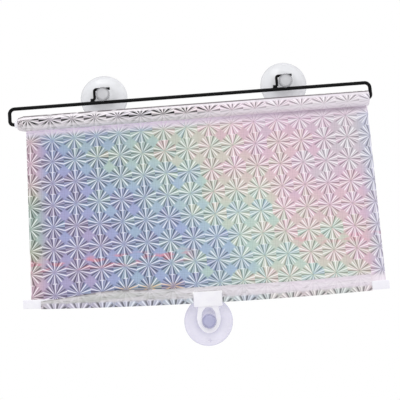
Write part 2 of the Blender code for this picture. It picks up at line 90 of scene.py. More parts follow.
frame_low, frame_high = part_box("wire_frame")
tube_low, tube_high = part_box("roller_tube")
WIRE_Y = (frame_low.y + frame_high.y) / 2
ROD_Z = frame_high.z - WIRE_D / 2
ARM_X = frame_high.x - WIRE_D / 2
ROLLER_Z = (tube_low.z + tube_high.z) / 2
TUBE_R = (tube_high.z - tube_low.z) / 2
ROLL_R = 0.0085
FILM_WIDTH = 0.378
FILM_T = 0.00024
FILM_OFFSET = 0.0045
FILM_SKEW = 0.0172
STRIP_DROP = 0.2038
STRIP_Z = ROLLER_Z - STRIP_DROP
STRIP_LENGTH = 0.3886
STRIP_HEIGHT = 0.0094
STRIP_T = 0.0026
STRIP_BOW = 0.0039
STRIP_TILT = math.radians(1.55)
print("rod at z", round(ROD_Z, 5), "roller axis at z", round(ROLLER_Z, 5), "strip at z", round(STRIP_Z, 5))

# %% [markdown]
# ## Camera
#
# The photograph was taken from the front, a little below the middle, with the shade leaning 5 degrees in
# the frame. A camera is fixed by the point that it looks at, its azimuth and elevation, its roll and its
# distance, so those are written down here, and a matrix is built from them.

# %% Camera
LOOK_AT = Vector((0.0006, -0.015, -0.1243))
AZIMUTH, ELEVATION, ROLL = (math.radians(angle) for angle in (-2.0, -8.5, -4.85))
DISTANCE = 0.90
FOCAL_PIXELS = 835
FRAME_PIXELS = 400


def new_object(name, data):
    """An object with this data, linked to the scene."""
    made = bpy.data.objects.new(name, data)
    bpy.context.scene.collection.objects.link(made)
    return made


def add_camera():
    forward = Vector((-math.sin(AZIMUTH) * math.cos(ELEVATION), math.cos(AZIMUTH) * math.cos(ELEVATION),
                      -math.sin(ELEVATION)))
    right = Vector((math.cos(AZIMUTH), math.sin(AZIMUTH), 0.0))
    up = right.cross(forward)
    across = math.cos(ROLL) * right + math.sin(ROLL) * up
    above = -math.sin(ROLL) * right + math.cos(ROLL) * up
    turn = Matrix((across, above, -forward)).transposed().to_4x4()
    data = bpy.data.cameras.new("camera")
    data.sensor_width = 36.0
    data.lens = FOCAL_PIXELS / FRAME_PIXELS * data.sensor_width
    camera = new_object("camera", data)
    camera.matrix_world = Matrix.Translation(LOOK_AT - forward * DISTANCE) @ turn
    bpy.context.scene.camera = camera
    return camera


camera = add_camera()
print("camera at", [round(v, 3) for v in camera.matrix_world.translation], "lens", round(camera.data.lens, 1))

# %% [markdown]
# ## Writing shader maths
#
# A procedural finish is a sum done for every point of a surface. Blender draws such a sum as nodes and
# links, which is hard to read in a script. The small class below wraps a node's output, so that a plain
# formula with plus, minus, times and divided by adds the Math nodes by itself.

# %% Formulas that become nodes
class Term:
    """A node's output, used as a number in a formula. Each sign written with it adds one Math node."""

    def __init__(self, socket):
        self.socket = socket
        self.tree = socket.id_data

    def __add__(self, other):
        return calc("ADD", self, other)

    def __sub__(self, other):
        return calc("SUBTRACT", self, other)

    def __rsub__(self, other):
        return calc("SUBTRACT", other, self)

    def __mul__(self, other):
        return calc("MULTIPLY", self, other)

    def __truediv__(self, other):
        return calc("DIVIDE", self, other)

    def __abs__(self):
        return calc("ABSOLUTE", self)

    def __round__(self):
        return calc("ROUND", self)

    def __floor__(self):
        return calc("FLOOR", self)

    __radd__ = __add__
    __rmul__ = __mul__


def feed(socket, term):
    """Link a term to a socket, or set the socket to a plain value."""
    if isinstance(term, Term):
        term.tree.links.new(term.socket, socket)
    else:
        socket.default_value = term


def add_node(kind, *terms):
    """A new node in the tree that the terms belong to."""
    tree = next(term.tree for term in terms if isinstance(term, Term))
    return tree.nodes.new(kind)


def calc(operation, *terms):
    node = add_node("ShaderNodeMath", *terms)
    node.operation = operation
    for socket, term in zip(node.inputs, terms):
        feed(socket, term)
    return Term(node.outputs[0])


print("signs that formulas may use: + - * / abs() round() math.floor()")

# %% [markdown]
# A few more helpers give what arithmetic can't: smooth steps, noise, mixed colours, the parts of a
# vector, and a random number for each cell of a pattern.

# %% Smooth steps, noise and mixing
def smooth(value, low, high):
    """0 below low, 1 above high, and an easy curve between them."""
    node = add_node("ShaderNodeMapRange", value)
    node.interpolation_type = "SMOOTHSTEP"
    feed(node.inputs["Value"], value)
    node.inputs["From Min"].default_value = low
    node.inputs["From Max"].default_value = high
    return Term(node.outputs["Result"])


def between(value, start, full, fade, end):
    """1 from full to fade, 0 before start and after end."""
    return smooth(value, start, full) * (1 - smooth(value, fade, end))


def blend(share, first, second, kind="MIX"):
    node = add_node("ShaderNodeMix", share, first, second)
    node.data_type = "RGBA"
    node.blend_type = kind
    for index, term in ((0, share), (6, first), (7, second)):
        feed(node.inputs[index], term)
    return Term(node.outputs[2])


def noise(place, scale, detail=2.0):
    node = add_node("ShaderNodeTexNoise", place)
    feed(node.inputs["Vector"], place)
    node.inputs["Scale"].default_value = scale
    node.inputs["Detail"].default_value = detail
    return Term(node.outputs["Fac"])


print("nodes with a helper: Math, Map Range, Mix and Noise Texture")

# %% Places, chances and colours
def parts_of(vector):
    node = add_node("ShaderNodeSeparateXYZ", vector)
    feed(node.inputs[0], vector)
    return [Term(socket) for socket in node.outputs]


def vector_of(*parts):
    node = add_node("ShaderNodeCombineXYZ", *parts)
    for socket, part in zip(node.inputs, parts):
        feed(socket, part)
    return Term(node.outputs[0])


def squeeze(place, factor):
    """The place with its second part scaled up, so that a noise read there lies in streaks."""
    node = add_node("ShaderNodeVectorMath", place)
    node.operation = "MULTIPLY"
    feed(node.inputs[0], place)
    node.inputs[1].default_value = (1.0, factor, 1.0)
    return Term(node.outputs["Vector"])


def chance(*numbers):
    """A random number from 0 to 1 that belongs to these whole numbers."""
    place = vector_of(*numbers)
    node = add_node("ShaderNodeTexWhiteNoise", place)
    feed(node.inputs["Vector"], place)
    return Term(node.outputs["Value"])


def linear(red, green, blue, alpha=1.0):
    """A colour written as it looks on a screen, 0 to 255, as the linear values that shaders use."""
    parts = [value / 255 for value in (red, green, blue)]
    return [v / 12.92 if v <= 0.04045 else ((v + 0.055) / 1.055) ** 2.4 for v in parts] + [alpha]


def colour_ramp(value, stops):
    node = add_node("ShaderNodeValToRGB", value)
    feed(node.inputs["Fac"], value)
    marks = node.color_ramp.elements
    marks[0].position, marks[0].color = stops[0][0], linear(*stops[0][1])
    marks[1].position, marks[1].color = stops[-1][0], linear(*stops[-1][1])
    for position, colour in stops[1:-1]:
        marks.new(position).color = linear(*colour)
    return Term(node.outputs["Color"])


print("mid grey, 128 on a screen, is", round(linear(128, 128, 128)[0], 3), "in a shader")

# %% [markdown]
# A pattern that several materials share is a node group, with named inputs and outputs. The shader itself
# stays in each material. Both are made often, so each has a helper.

# %% Groups and finishes
def new_group(name, inputs, outputs):
    """An empty group, its inputs as terms, and the sockets that take its results."""
    tree = bpy.data.node_groups.new(name, "ShaderNodeTree")
    for label, kind, value in inputs:
        socket = tree.interface.new_socket(label, in_out="INPUT", socket_type=kind)
        if value is not None:
            socket.default_value = value
    for label, kind in outputs:
        tree.interface.new_socket(label, in_out="OUTPUT", socket_type=kind)
    given = tree.nodes.new("NodeGroupInput")
    result = tree.nodes.new("NodeGroupOutput")
    return tree, {socket.name: Term(socket) for socket in given.outputs}, result.inputs


def use_group(tree, group, **values):
    """The group's results as terms, worked out with these values."""
    node = tree.nodes.new("ShaderNodeGroup")
    node.node_tree = group
    for name, value in values.items():
        feed(node.inputs[name], value)
    return {socket.name: Term(socket) for socket in node.outputs}


def new_finish(name, roughness, metallic=0.0, specular=0.5):
    material = bpy.data.materials.new(name)
    material.use_nodes = True
    shader = material.node_tree.nodes["Principled BSDF"]
    shader.inputs["Roughness"].default_value = roughness
    shader.inputs["Metallic"].default_value = metallic
    shader.inputs["Specular IOR Level"].default_value = specular
    return material, material.node_tree, shader


def object_place(tree):
    return Term(tree.nodes.new("ShaderNodeTexCoord").outputs["Object"])


def measured(tree, name):
    """A value that the mesh carries for each of its points."""
    node = tree.nodes.new("ShaderNodeAttribute")
    node.attribute_name = name
    return Term(node.outputs["Fac"])


def bump(shader, height, distance, strength):
    node = add_node("ShaderNodeBump", height)
    node.inputs["Distance"].default_value = distance
    node.inputs["Strength"].default_value = strength
    feed(node.inputs["Height"], height)
    feed(shader.inputs["Normal"], Term(node.outputs["Normal"]))


print("materials so far:", len(bpy.data.materials))

# %% [markdown]
# ## The starburst film
#
# The real film carries a fine embossed grating that splits light. It is laid out in square cells of about
# 25 by 24.5 mm. In each cell a star of wedges fans out from the middle, bright lines between grey wedges,
# and small smooth patches are left where four cells meet. Over the whole sheet the tint drifts from
# violet and blue through green to pink.
#
# The same film is on the roll, in the hanging panel and in the hem, so the pattern is one node group. It
# works on a flat coordinate: metres across the film and metres down along it. The panel reads that from
# its position, and the wound and folded pieces read it from a UV map that unrolls them.

# %% Sizes and tints of the pattern
STAR_PITCH = (0.0250, 0.0245)
STAR_FIRST = (-0.1589, 0.0166)
RAYS = 10
TINTS = [(0.00, (184, 170, 220)), (0.10, (171, 173, 228)), (0.20, (162, 181, 232)), (0.30, (167, 197, 228)),
         (0.38, (181, 211, 221)), (0.44, (190, 221, 211)), (0.50, (208, 224, 206)), (0.56, (222, 218, 202)),
         (0.62, (228, 204, 200)), (0.70, (234, 196, 208)), (0.80, (228, 190, 215)), (0.90, (220, 200, 214)),
         (1.00, (213, 207, 216))]
EDGE_TINTS = [(0.0, (176, 208, 196)), (0.35, (212, 218, 190)), (0.65, (230, 206, 206)),
              (1.0, (232, 190, 214))]
# Pale tints of a painted reflection in the film just under the roll.
REFLECTION_BAND_TINTS = [(0.30, (250, 232, 242)), (0.45, (248, 222, 238)), (0.62, (228, 220, 246)),
              (0.85, (214, 232, 248))]
print("cells of", [1000 * side for side in STAR_PITCH], "mm,", len(TINTS), "tints from violet to pink")

# %% [markdown]
# First a point finds its cell. The film was wound a little askew, and it is stretched near the roll,
# which bows the upper rows. Soft patches lie where four cells meet, and the star fills the rest of its
# cell.

# %% Cells
class Named:
    """Several values that belong together, each with its name."""

    def __init__(self, **values):
        vars(self).update(values)


def star_cells(place, paler):
    """Where a point lies on the film and in its cell, and whether it is in the cell's star."""
    x, down, _ = parts_of(place)
    across = x + FILM_SKEW * (down - STRIP_DROP / 2)
    half = x / (FILM_WIDTH / 2 + 0.001)
    near_roll = 1 - smooth(down, 0.0, 0.15)
    shift_across = 0.00355 * half * half - 0.00075 * half - 0.0004
    shift_down = 0.00248 * half * half - 0.0020 * half - 0.0013
    column = (across - shift_across * near_roll - STAR_FIRST[0]) / STAR_PITCH[0]
    row = (down - shift_down * near_roll - STAR_FIRST[1]) / STAR_PITCH[1]
    in_column = column - round(column)
    in_row = round(row) - row
    radius = calc("SQRT", in_column * in_column + in_row * in_row)
    to_end = 0.5 - abs(in_row)
    ragged = 0.36 * noise(place, 760.0) - 0.18
    to_corner = 0.5 - abs(in_column) + to_end + ragged + 0.12 * paler
    return Named(
        place=place, across=across, down=down, column=column, row=row, in_column=in_column, in_row=in_row,
        to_end=to_end, radius=radius, in_star=smooth(to_corner, 0.22, 0.36),
        from_middle=smooth(radius, 0.03, 0.20))


print("the film's middle leans", round(1000 * FILM_SKEW * STRIP_DROP, 1), "mm over the sheet")

# %% [markdown]
# A star has ten rays. On the violet side each is a thin bright line before a dark edge, and on the pink
# side it is a broad petal. A line is thin near the middle and widens outwards, so the distance from it is
# measured along an arc. Where two stars meet above one another, a short bright cap joins them. Each ray
# also has a chance number of its own, because no two rays are embossed alike.

# %% Rays
def star_rays(cell, given):
    """The bright rays of a star, the dark edges beside them, and what both depend on."""
    own_chance = chance(round(cell.column), round(cell.row))
    angle = calc("ARCTAN2", cell.in_row, cell.in_column)
    turned = (angle + 0.10 * own_chance) * (RAYS / (2 * math.pi))
    turn = calc("FRACT", turned)
    ray_chance = chance(round(cell.column), round(cell.row), math.floor(turned))
    contrast = 1 + (given["Contrast"] - 1) * (1 - 0.7 * smooth(cell.across, -0.02, 0.10))
    pale_side = smooth(cell.across - 0.28 * cell.down, -0.11, 0.06)

    def line_at(middle, narrow, widen, spread=1.0):
        off = abs(turn - middle)
        arc_length = calc("MINIMUM", off, 1 - off) * (2 * math.pi / RAYS) * cell.radius
        return 1 - smooth(arc_length / ((narrow + widen * cell.radius) * spread), 0.45, 1.45)

    thin_ray = line_at(0.58, 0.013, 0.030) * (1 - pale_side)
    petal = 0.95 * line_at(0.50, 0.008, 0.050) * pale_side
    second_ray = line_at(0.16, 0.004, 0.030) * (0.35 + 0.25 * pale_side)
    ray = calc("MAXIMUM", (thin_ray + petal) * (0.82 + 0.40 * ray_chance), second_ray)
    cap = (1 - smooth(cell.to_end, 0.012, 0.035)) * (1 - smooth(abs(cell.in_column), 0.06, 0.12))
    return Named(
        chance=own_chance, ray_chance=ray_chance, turn=turn, contrast=contrast, pale_side=pale_side,
        pale=calc("MAXIMUM", pale_side, given["Pale"]), rays=calc("MAXIMUM", ray, 0.8 * cap) * cell.in_star,
        dark_edge=line_at(0.93, 0.007, 0.045, contrast), second_edge=line_at(0.34, 0.004, 0.026) * pale_side)


print(RAYS, "rays in a star,", 360 // RAYS, "degrees apart")

# %% [markdown]
# The tint drifts over the sheet, jumps a little from star to star and from ray to ray, and turns over
# near the side edges. Under the roll the film curves and mirrors the room, so a painted reflection lays
# pale pink, violet and blue in narrow bands there. Low on the sheet, creases catch a red glint in short
# streaks.

# %% Tints
def film_tint(cell, star):
    drift = cell.across / 0.42 + 0.58 - 0.24 * smooth(cell.down, 0.03, 0.14)
    low_corner = smooth(cell.down, 0.10, 0.17) * smooth(cell.across, 0.02, 0.11)
    waver = 0.44 * noise(cell.place, 17.0) - 0.22
    star_jump = 0.16 * (star.chance + star.ray_chance) - 0.16
    patch_jump = 0.22 * chance(math.floor(cell.column), math.floor(cell.row)) - 0.11
    jump = star_jump * cell.in_star + patch_jump * (1 - cell.in_star)
    tint = drift - 0.08 * low_corner + waver + jump
    edge_tint = 0.5 + 0.5 * calc("SINE", 42.0 * cell.down) + jump
    left_edge = 1 - smooth(cell.across, -0.180, -0.160)
    right_edge = smooth(cell.across, 0.176, 0.190)
    colour = blend(left_edge, colour_ramp(tint, TINTS), colour_ramp(edge_tint, EDGE_TINTS))
    colour = blend(0.7 * right_edge, colour, linear(186, 192, 222))
    # Painted reflection: narrow pale bands just under the roll, where the curving film mirrors the room.
    reflection_band_share = (1 - smooth(cell.down, 0.009, 0.018)) * (0.85 - 0.35 * star.pale_side)
    return blend(reflection_band_share, colour, colour_ramp(48.0 * cell.down - 0.9 * cell.across, REFLECTION_BAND_TINTS))


def red_glints(cell):
    streak = smooth(noise(squeeze(cell.place, 3.0), 46.0), 0.48, 0.60)
    low_left = between(cell.down, 0.147, 0.152, 0.159, 0.165) * (1 - smooth(cell.across, -0.03, 0.0))
    low_right = between(cell.down, 0.145, 0.149, 0.153, 0.158) * smooth(cell.across, 0.07, 0.10)
    return streak * (low_left + 0.5 * low_right)


print(len(EDGE_TINTS), "tints at the left edge,", len(REFLECTION_BAND_TINTS), "in the band under the roll")

# %% [markdown]
# Wedges are grey on the violet side and pale on the pink side, with a darker line at their edge. Near the
# top of the hanging film and all over the roll they are lightened, a painted light against the roll's shade.
# The patches between stars have a fine crossed hatch. Where light glances off the film, painted glare
# washes the pattern out, with faint pale streaks of painted sheen and dark creases of painted shade along
# the film instead.

# %% Shade and washed film
HATCH = 52.0


def star_shade(cell, star):
    wedge = 0.47 + 0.30 * star.pale + 0.10 * star.turn + 0.12 * star.ray_chance
    # Painted light: wedges are lighter near the top of the hanging film and all over the roll, against the
    # roll's shade.
    wedge = wedge + 0.15 * (1 - smooth(cell.down, 0.010, 0.045)) + 0.20 * (1 - cell.from_middle)
    wedge = wedge - 0.22 * star.second_edge - star.dark_edge * (0.38 + 0.12 * star.pale_side)
    rising = calc("SINE", HATCH * (cell.in_column + cell.in_row))
    falling = calc("SINE", HATCH * (cell.in_column - cell.in_row))
    patch = 0.80 + 0.06 * star.pale + 0.13 * rising * falling
    shade = wedge * cell.in_star + patch * (1 - cell.in_star)
    return 0.90 - (0.90 - shade) * star.contrast


def washed_film(cell, given):
    # Painted glare: the plain film colour, with pale streaks of painted sheen and dark creases of painted
    # shade.
    far = smooth(cell.across, -0.10, 0.12)
    along_film = squeeze(cell.place, 6.0)
    streaks = 0.55 * smooth(noise(along_film, 30.0), 0.40, 0.62)
    crease_shade = smooth(noise(along_film, 88.0, 3.0), 0.57, 0.64) * (0.55 - 0.34 * far)
    plain = blend(far, given["Left"], given["Right"])
    plain = blend(streaks, plain, blend(0.5, given["Right"], linear(236, 234, 236)))
    return blend(crease_shade, plain, linear(128, 124, 126))


print("hatch repeats every", round(1000 * STAR_PITCH[0] * 2 * math.pi / HATCH, 1), "mm")

# %% [markdown]
# The group puts these together. The colour is muted in the wedges and multiplied by the shade. The rays
# show the full tint as a bright sheen, and painted glare covers all of it where light glances off. Bright
# rays stand a little proud of the film and shine more.

# %% The film's node group
def star_film_group():
    tree, given, result = new_group(
        "starburst_film",
        [("Place", "NodeSocketVector", None), ("Wash", "NodeSocketFloat", 0.0),
         ("Contrast", "NodeSocketFloat", 1.0), ("Pale", "NodeSocketFloat", 0.0),
         ("Glint", "NodeSocketFloat", 0.0), ("Left", "NodeSocketColor", linear(188, 189, 187)),
         ("Right", "NodeSocketColor", linear(224, 214, 225))],
        [("Colour", "NodeSocketColor"), ("Relief", "NodeSocketFloat"), ("Roughness", "NodeSocketFloat")])
    cell = star_cells(given["Place"], given["Pale"])
    star = star_rays(cell, given)
    colour = blend(0.85 * red_glints(cell), film_tint(cell, star), linear(242, 146, 172))
    in_wedge = cell.in_star * cell.from_middle * (0.16 + 0.55 * given["Pale"])
    in_patch = (1 - cell.in_star) * (0.20 + 0.60 * given["Pale"])
    muted = blend(calc("MAXIMUM", in_wedge, in_patch), colour, linear(210, 207, 213))
    shaded = blend(1.0, muted, star_shade(cell, star), "MULTIPLY")
    sheen = blend(0.30, linear(252, 251, 253), colour)
    sheen = blend(0.85 * given["Glint"], sheen, linear(246, 196, 116))
    lit = blend(star.rays * (0.22 + 0.76 * cell.from_middle), shaded, sheen)
    feed(result["Colour"], blend(given["Wash"], lit, washed_film(cell, given)))
    feed(result["Relief"], 0.6 * star.rays - 0.3 * star.dark_edge)
    feed(result["Roughness"], 0.40 - 0.10 * star.rays + 0.05 * given["Wash"])
    return tree


star_film = star_film_group()
print("starburst pattern of", len(star_film.nodes), "nodes")

# %% [markdown]
# ## Film finishes
#
# All three film pieces share the group. The hanging film reads its position, so the cells keep their size
# when the curtain is pulled. Just under the roll a painted reflection stands for the bright room that the
# film mirrors there, and offsets the roll's shade: a paler colour, more metal and a faint glow. The roll and
# the hem read their UV map. One attribute marks painted glare where light glances off the film, one named
# glint a painted orange reflection where its fold shines, and one named tone is low where painted shade
# darkens an edge.

# %% Film materials
def cover_with_film(shader, film, colour):
    feed(shader.inputs["Base Color"], colour)
    feed(shader.inputs["Roughness"], film["Roughness"])
    bump(shader, film["Relief"], 0.00012, 0.6)


def hanging_film_finish():
    material, tree, shader = new_finish("laser_film_panel", 0.35, metallic=0.15, specular=0.30)
    x, _, z = parts_of(object_place(tree))
    down = ROLLER_Z - z
    # Painted reflection just under the roll: a paler colour, more metal and a faint glow for the mirrored
    # room, lightening it against the roll's shade.
    glare_under_roll = 0.75 * (1 - smooth(down, 0.008, 0.015))
    film = use_group(tree, star_film, Place=vector_of(x, down), Glint=measured(tree, "glint"),
                     Wash=calc("MAXIMUM", measured(tree, "wash"), glare_under_roll),
                     Left=linear(252, 242, 250), Right=linear(242, 232, 242))
    glow = glare_under_roll * (1 - smooth(x, -0.06, 0.16))
    feed(shader.inputs["Emission Color"], blend(glow, linear(0, 0, 0), linear(226, 220, 244)))
    shader.inputs["Emission Strength"].default_value = 0.35
    feed(shader.inputs["Metallic"], 0.15 + 0.7 * glare_under_roll)
    cover_with_film(shader, film, film["Colour"])
    return material


def wound_film_finish(name, contrast, pale, left, right):
    material, tree, shader = new_finish(name, 0.35, metallic=0.15, specular=0.30)
    unrolled = tree.nodes.new("ShaderNodeUVMap")
    unrolled.uv_map = "film"
    place = Term(unrolled.outputs["UV"])
    film = use_group(tree, star_film, Place=place, Wash=measured(tree, "wash"), Contrast=contrast, Pale=pale,
                     Left=linear(*left), Right=linear(*right))
    across = parts_of(place)[0]
    # Painted shade: where the tone attribute is low the film turns dark, in a line that gaps break up at the
    # left.
    gaps = smooth(noise(place, 90.0), 0.52, 0.60) * (1 - smooth(across, -0.08, 0.0))
    clear_of_painted_shade = calc("MAXIMUM", measured(tree, "tone"), gaps)
    cover_with_film(shader, film, blend(clear_of_painted_shade, linear(126, 118, 122), film["Colour"]))
    return material


panel_finish = hanging_film_finish()
wound_finish = wound_film_finish("laser_film_wound", 2.2, 0.38, (236, 231, 235), (238, 230, 239))
hem_finish = wound_film_finish("laser_film_hem", 1.6, 1.0, (190, 191, 188), (230, 220, 231))
print("film finishes:", panel_finish.name, wound_finish.name, hem_finish.name)

# %% [markdown]
# ## Plastic, vinyl and metal
#
# Moulded plastic is never one even colour: it has a faint mottle and a soft skin that breaks up the
# highlight. One group gives both, and the white parts, the clear cups and the painted wire use it with
# their own values.

# %% Moulded skin group
def skin_group():
    tree, given, result = new_group(
        "moulded_skin",
        [("Place", "NodeSocketVector", None), ("Light", "NodeSocketColor", linear(240, 240, 240)),
         ("Dark", "NodeSocketColor", linear(220, 220, 220)), ("Roughness", "NodeSocketFloat", 0.4)],
        [("Colour", "NodeSocketColor"), ("Roughness", "NodeSocketFloat"), ("Relief", "NodeSocketFloat")])
    grain = noise(given["Place"], 1400.0)
    mottle = smooth(noise(given["Place"], 90.0, 3.0), 0.35, 0.70)
    feed(result["Colour"], blend(mottle, given["Light"], given["Dark"]))
    feed(result["Roughness"], given["Roughness"] + 0.16 * grain - 0.08)
    feed(result["Relief"], grain)
    return tree


moulded_skin = skin_group()


def moulded_finish(name, light, dark, roughness, relief, **looks):
    material, tree, shader = new_finish(name, roughness, **looks)
    skin = use_group(tree, moulded_skin, Place=object_place(tree), Light=linear(*light), Dark=linear(*dark),
                     Roughness=roughness)
    feed(shader.inputs["Base Color"], skin["Colour"])
    feed(shader.inputs["Roughness"], skin["Roughness"])
    bump(shader, skin["Relief"], relief, 0.5)
    return material


black_paint = moulded_finish("black_paint", (15, 15, 16), (10, 10, 11), 0.38, 0.00003, specular=0.10)
white_plastic = moulded_finish("white_plastic", (249, 248, 253), (243, 241, 250), 0.42, 0.00003)
white_inner = moulded_finish("natural_plastic", (232, 231, 226), (220, 219, 212), 0.48, 0.00003)
spring_steel = moulded_finish("spring_steel", (176, 178, 182), (140, 142, 147), 0.30, 0.00001, metallic=1.0)
tube_metal = moulded_finish("tube_metal", (196, 198, 202), (178, 180, 185), 0.40, 0.00001, metallic=1.0)
clear_tape = moulded_finish("clear_tape", (232, 226, 200), (220, 212, 184), 0.30, 0.00001)
print("moulded skin of", len(moulded_skin.nodes), "nodes, in 6 finishes")

# %% [markdown]
# Soft vinyl is clear where it is thin, as in a cup's dish, and milky where it is thick, as in its head.
# So the cup's finish mixes three tones of the same skin. Three attributes of the cup's mesh steer them:
# depth goes from the dish to the head, rim lies at the head's edge, and the third is painted shade,
# which darkens the dish with the head's tone round its neck, where the dome curves, and in a thin line
# at its own edge.

# %% Clear vinyl
def vinyl_finish(name, thin, thick, rim):
    material, tree, shader = new_finish(name, 0.28, specular=0.4)
    place = object_place(tree)
    depth, at_rim, ring = (measured(tree, label) for label in ("depth", "rim", "ring"))
    thin_skin, thick_skin, rim_skin = (
        use_group(tree, moulded_skin, Place=place, Light=linear(*tone),
                  Dark=linear(*(value - 6 for value in tone)), Roughness=0.16)
        for tone in (thin, thick, rim))
    # The dish's painted shade takes the head's darker tone.
    colour = blend(calc("MAXIMUM", depth, ring), thin_skin["Colour"], thick_skin["Colour"])
    feed(shader.inputs["Base Color"], blend(at_rim, colour, rim_skin["Colour"]))
    feed(shader.inputs["Roughness"], rim_skin["Roughness"])
    feed(shader.inputs["Alpha"], 0.58 + 0.30 * depth - 0.50 * at_rim)
    bump(shader, rim_skin["Relief"], 0.00004, 0.5)
    return material


cup_vinyl = vinyl_finish("clear_vinyl_upper", (240, 241, 245), (200, 200, 204), (168, 168, 172))
tab_cup_vinyl = vinyl_finish("clear_vinyl_bottom", (240, 237, 253), (178, 178, 212), (180, 180, 212))
print("finishes:", sorted(material.name for material in bpy.data.materials if material.users == 0))

# %% [markdown]
# ## Wire, by Geometry Nodes
#
# The bracket, the two hooks and the spring are all one thing: round wire that follows a line. So one
# Geometry Nodes tree makes them. It takes a line of edges, turns it into a curve, sweeps a circle along
# it, and closes the ends. The wire's diameter, its number of sides and its finish are the tree's inputs.
# Once the tree has made the wire, the result is kept as a plain mesh.

# %% The swept wire tree
def wire_tree():
    tree = bpy.data.node_groups.new("swept_wire", "GeometryNodeTree")
    ports = {}
    for label, kind in (("Route", "NodeSocketGeometry"), ("Diameter", "NodeSocketFloat"),
                        ("Sides", "NodeSocketInt"), ("Finish", "NodeSocketMaterial")):
        ports[label] = tree.interface.new_socket(label, in_out="INPUT", socket_type=kind).identifier
    tree.interface.new_socket("Wire", in_out="OUTPUT", socket_type="NodeSocketGeometry")
    given, result = tree.nodes.new("NodeGroupInput"), tree.nodes.new("NodeGroupOutput")
    route = tree.nodes.new("GeometryNodeMeshToCurve")
    circle = tree.nodes.new("GeometryNodeCurvePrimitiveCircle")
    half = tree.nodes.new("ShaderNodeMath")
    half.operation = "DIVIDE"
    half.inputs[1].default_value = 2.0
    sweep = tree.nodes.new("GeometryNodeCurveToMesh")
    sweep.inputs["Fill Caps"].default_value = True
    smooth_faces = tree.nodes.new("GeometryNodeSetShadeSmooth")
    plain = tree.nodes.new("GeometryNodeRealizeInstances")
    painted = tree.nodes.new("GeometryNodeSetMaterial")
    for start, end in ((given.outputs["Route"], route.inputs["Mesh"]),
                       (given.outputs["Diameter"], half.inputs[0]),
                       (half.outputs[0], circle.inputs["Radius"]),
                       (given.outputs["Sides"], circle.inputs["Resolution"]),
                       (route.outputs["Curve"], sweep.inputs["Curve"]),
                       (circle.outputs["Curve"], sweep.inputs["Profile Curve"]),
                       (sweep.outputs["Mesh"], smooth_faces.inputs["Geometry"]),
                       (smooth_faces.outputs["Geometry"], plain.inputs["Geometry"]),
                       (plain.outputs["Geometry"], painted.inputs["Geometry"]),
                       (given.outputs["Finish"], painted.inputs["Material"]),
                       (painted.outputs["Geometry"], result.inputs["Wire"])):
        tree.links.new(start, end)
    return tree, ports


swept_wire, wire_ports = wire_tree()
print("wire tree of", len(swept_wire.nodes), "nodes, inputs", ", ".join(wire_ports))

# %% Pieces made of wire
def settled(obj, name, sharp=40):
    """The object as its modifiers leave it, as a plain mesh piece, with flat faces kept crisp."""
    evaluated = obj.evaluated_get(bpy.context.evaluated_depsgraph_get())
    mesh = bpy.data.meshes.new_from_object(evaluated)
    bpy.data.objects.remove(obj)
    mesh.shade_smooth()
    mesh.set_sharp_from_angle(angle=math.radians(sharp))
    return new_object(name, mesh)


def wire_piece(name, points, diameter, sides, finish):
    mesh = bpy.data.meshes.new(name)
    mesh.from_pydata(points, [(index, index + 1) for index in range(len(points) - 1)], [])
    line = new_object(name + "_route", mesh)
    modifier = line.modifiers.new("wire", "NODES")
    modifier.node_group = swept_wire
    for label, value in (("Diameter", diameter), ("Sides", sides), ("Finish", finish)):
        modifier[wire_ports[label]] = value
    return settled(line, name)


def bent(corners, radii, steps=10):
    """Points (x, z) along straight runs whose right-angled corners are rounded to these radii."""
    path = [Vector(corners[0])]
    for before, corner, after, radius in zip(corners, corners[1:], corners[2:], radii):
        corner = Vector(corner)
        back, ahead = (Vector(before) - corner).normalized(), (Vector(after) - corner).normalized()
        middle = corner + radius * (back + ahead)
        for step in range(steps + 1):
            angle = math.pi / 2 * step / steps
            path.append(middle - radius * (ahead * math.cos(angle) + back * math.sin(angle)))
    path.append(Vector(corners[-1]))
    return path


print("a rounded corner has", len(bent([(0, 1), (0, 0), (1, 0)], [0.1])) - 2, "points")

# %% [markdown]
# ## Bracket and hooks
#
# The bracket is one length of painted wire: a long rod, two short arms and two tips that enter the
# roller's ends. Each hook is a short wire whose foot is welded along the top of the rod, and whose arm
# points right. The weld shows as a low bead along the foot.

# %% Bracket and hooks
TIP_REACH = 0.0140
FOOT_LENGTH = 0.0045
HOOK_BEND = 0.0024
BEAD_SIZE = (0.0032, 0.00125, 0.0008)


def make_bracket():
    tip = ARM_X - TIP_REACH
    corners = [(-tip, ROLLER_Z), (-ARM_X, ROLLER_Z), (-ARM_X, ROD_Z), (ARM_X, ROD_Z), (ARM_X, ROLLER_Z),
               (tip, ROLLER_Z)]
    points = [(x, WIRE_Y, z) for x, z in bent(corners, [0.004, 0.0055, 0.0055, 0.004])]
    bracket = wire_piece("bracket_wire", points, WIRE_SEEN, 28, black_paint)
    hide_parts("wire_frame")
    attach(bracket, "bracket")
    return bracket


def make_hook(side):
    low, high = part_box(f"cup_hook_{side}")
    arm_z, foot_z = high.z - HOOK_D / 2, low.z + HOOK_D / 2
    leg_x = low.x + FOOT_LENGTH
    corners = [(low.x, foot_z), (leg_x, foot_z), (leg_x, arm_z), (high.x, arm_z)]
    points = [(x, WIRE_Y, z) for x, z in bent(corners, [HOOK_BEND, HOOK_BEND])]
    hook = wire_piece(f"hook_wire_{side}", points, HOOK_D, 24, black_paint)
    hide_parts(f"cup_hook_{side}")
    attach(hook, "bracket")


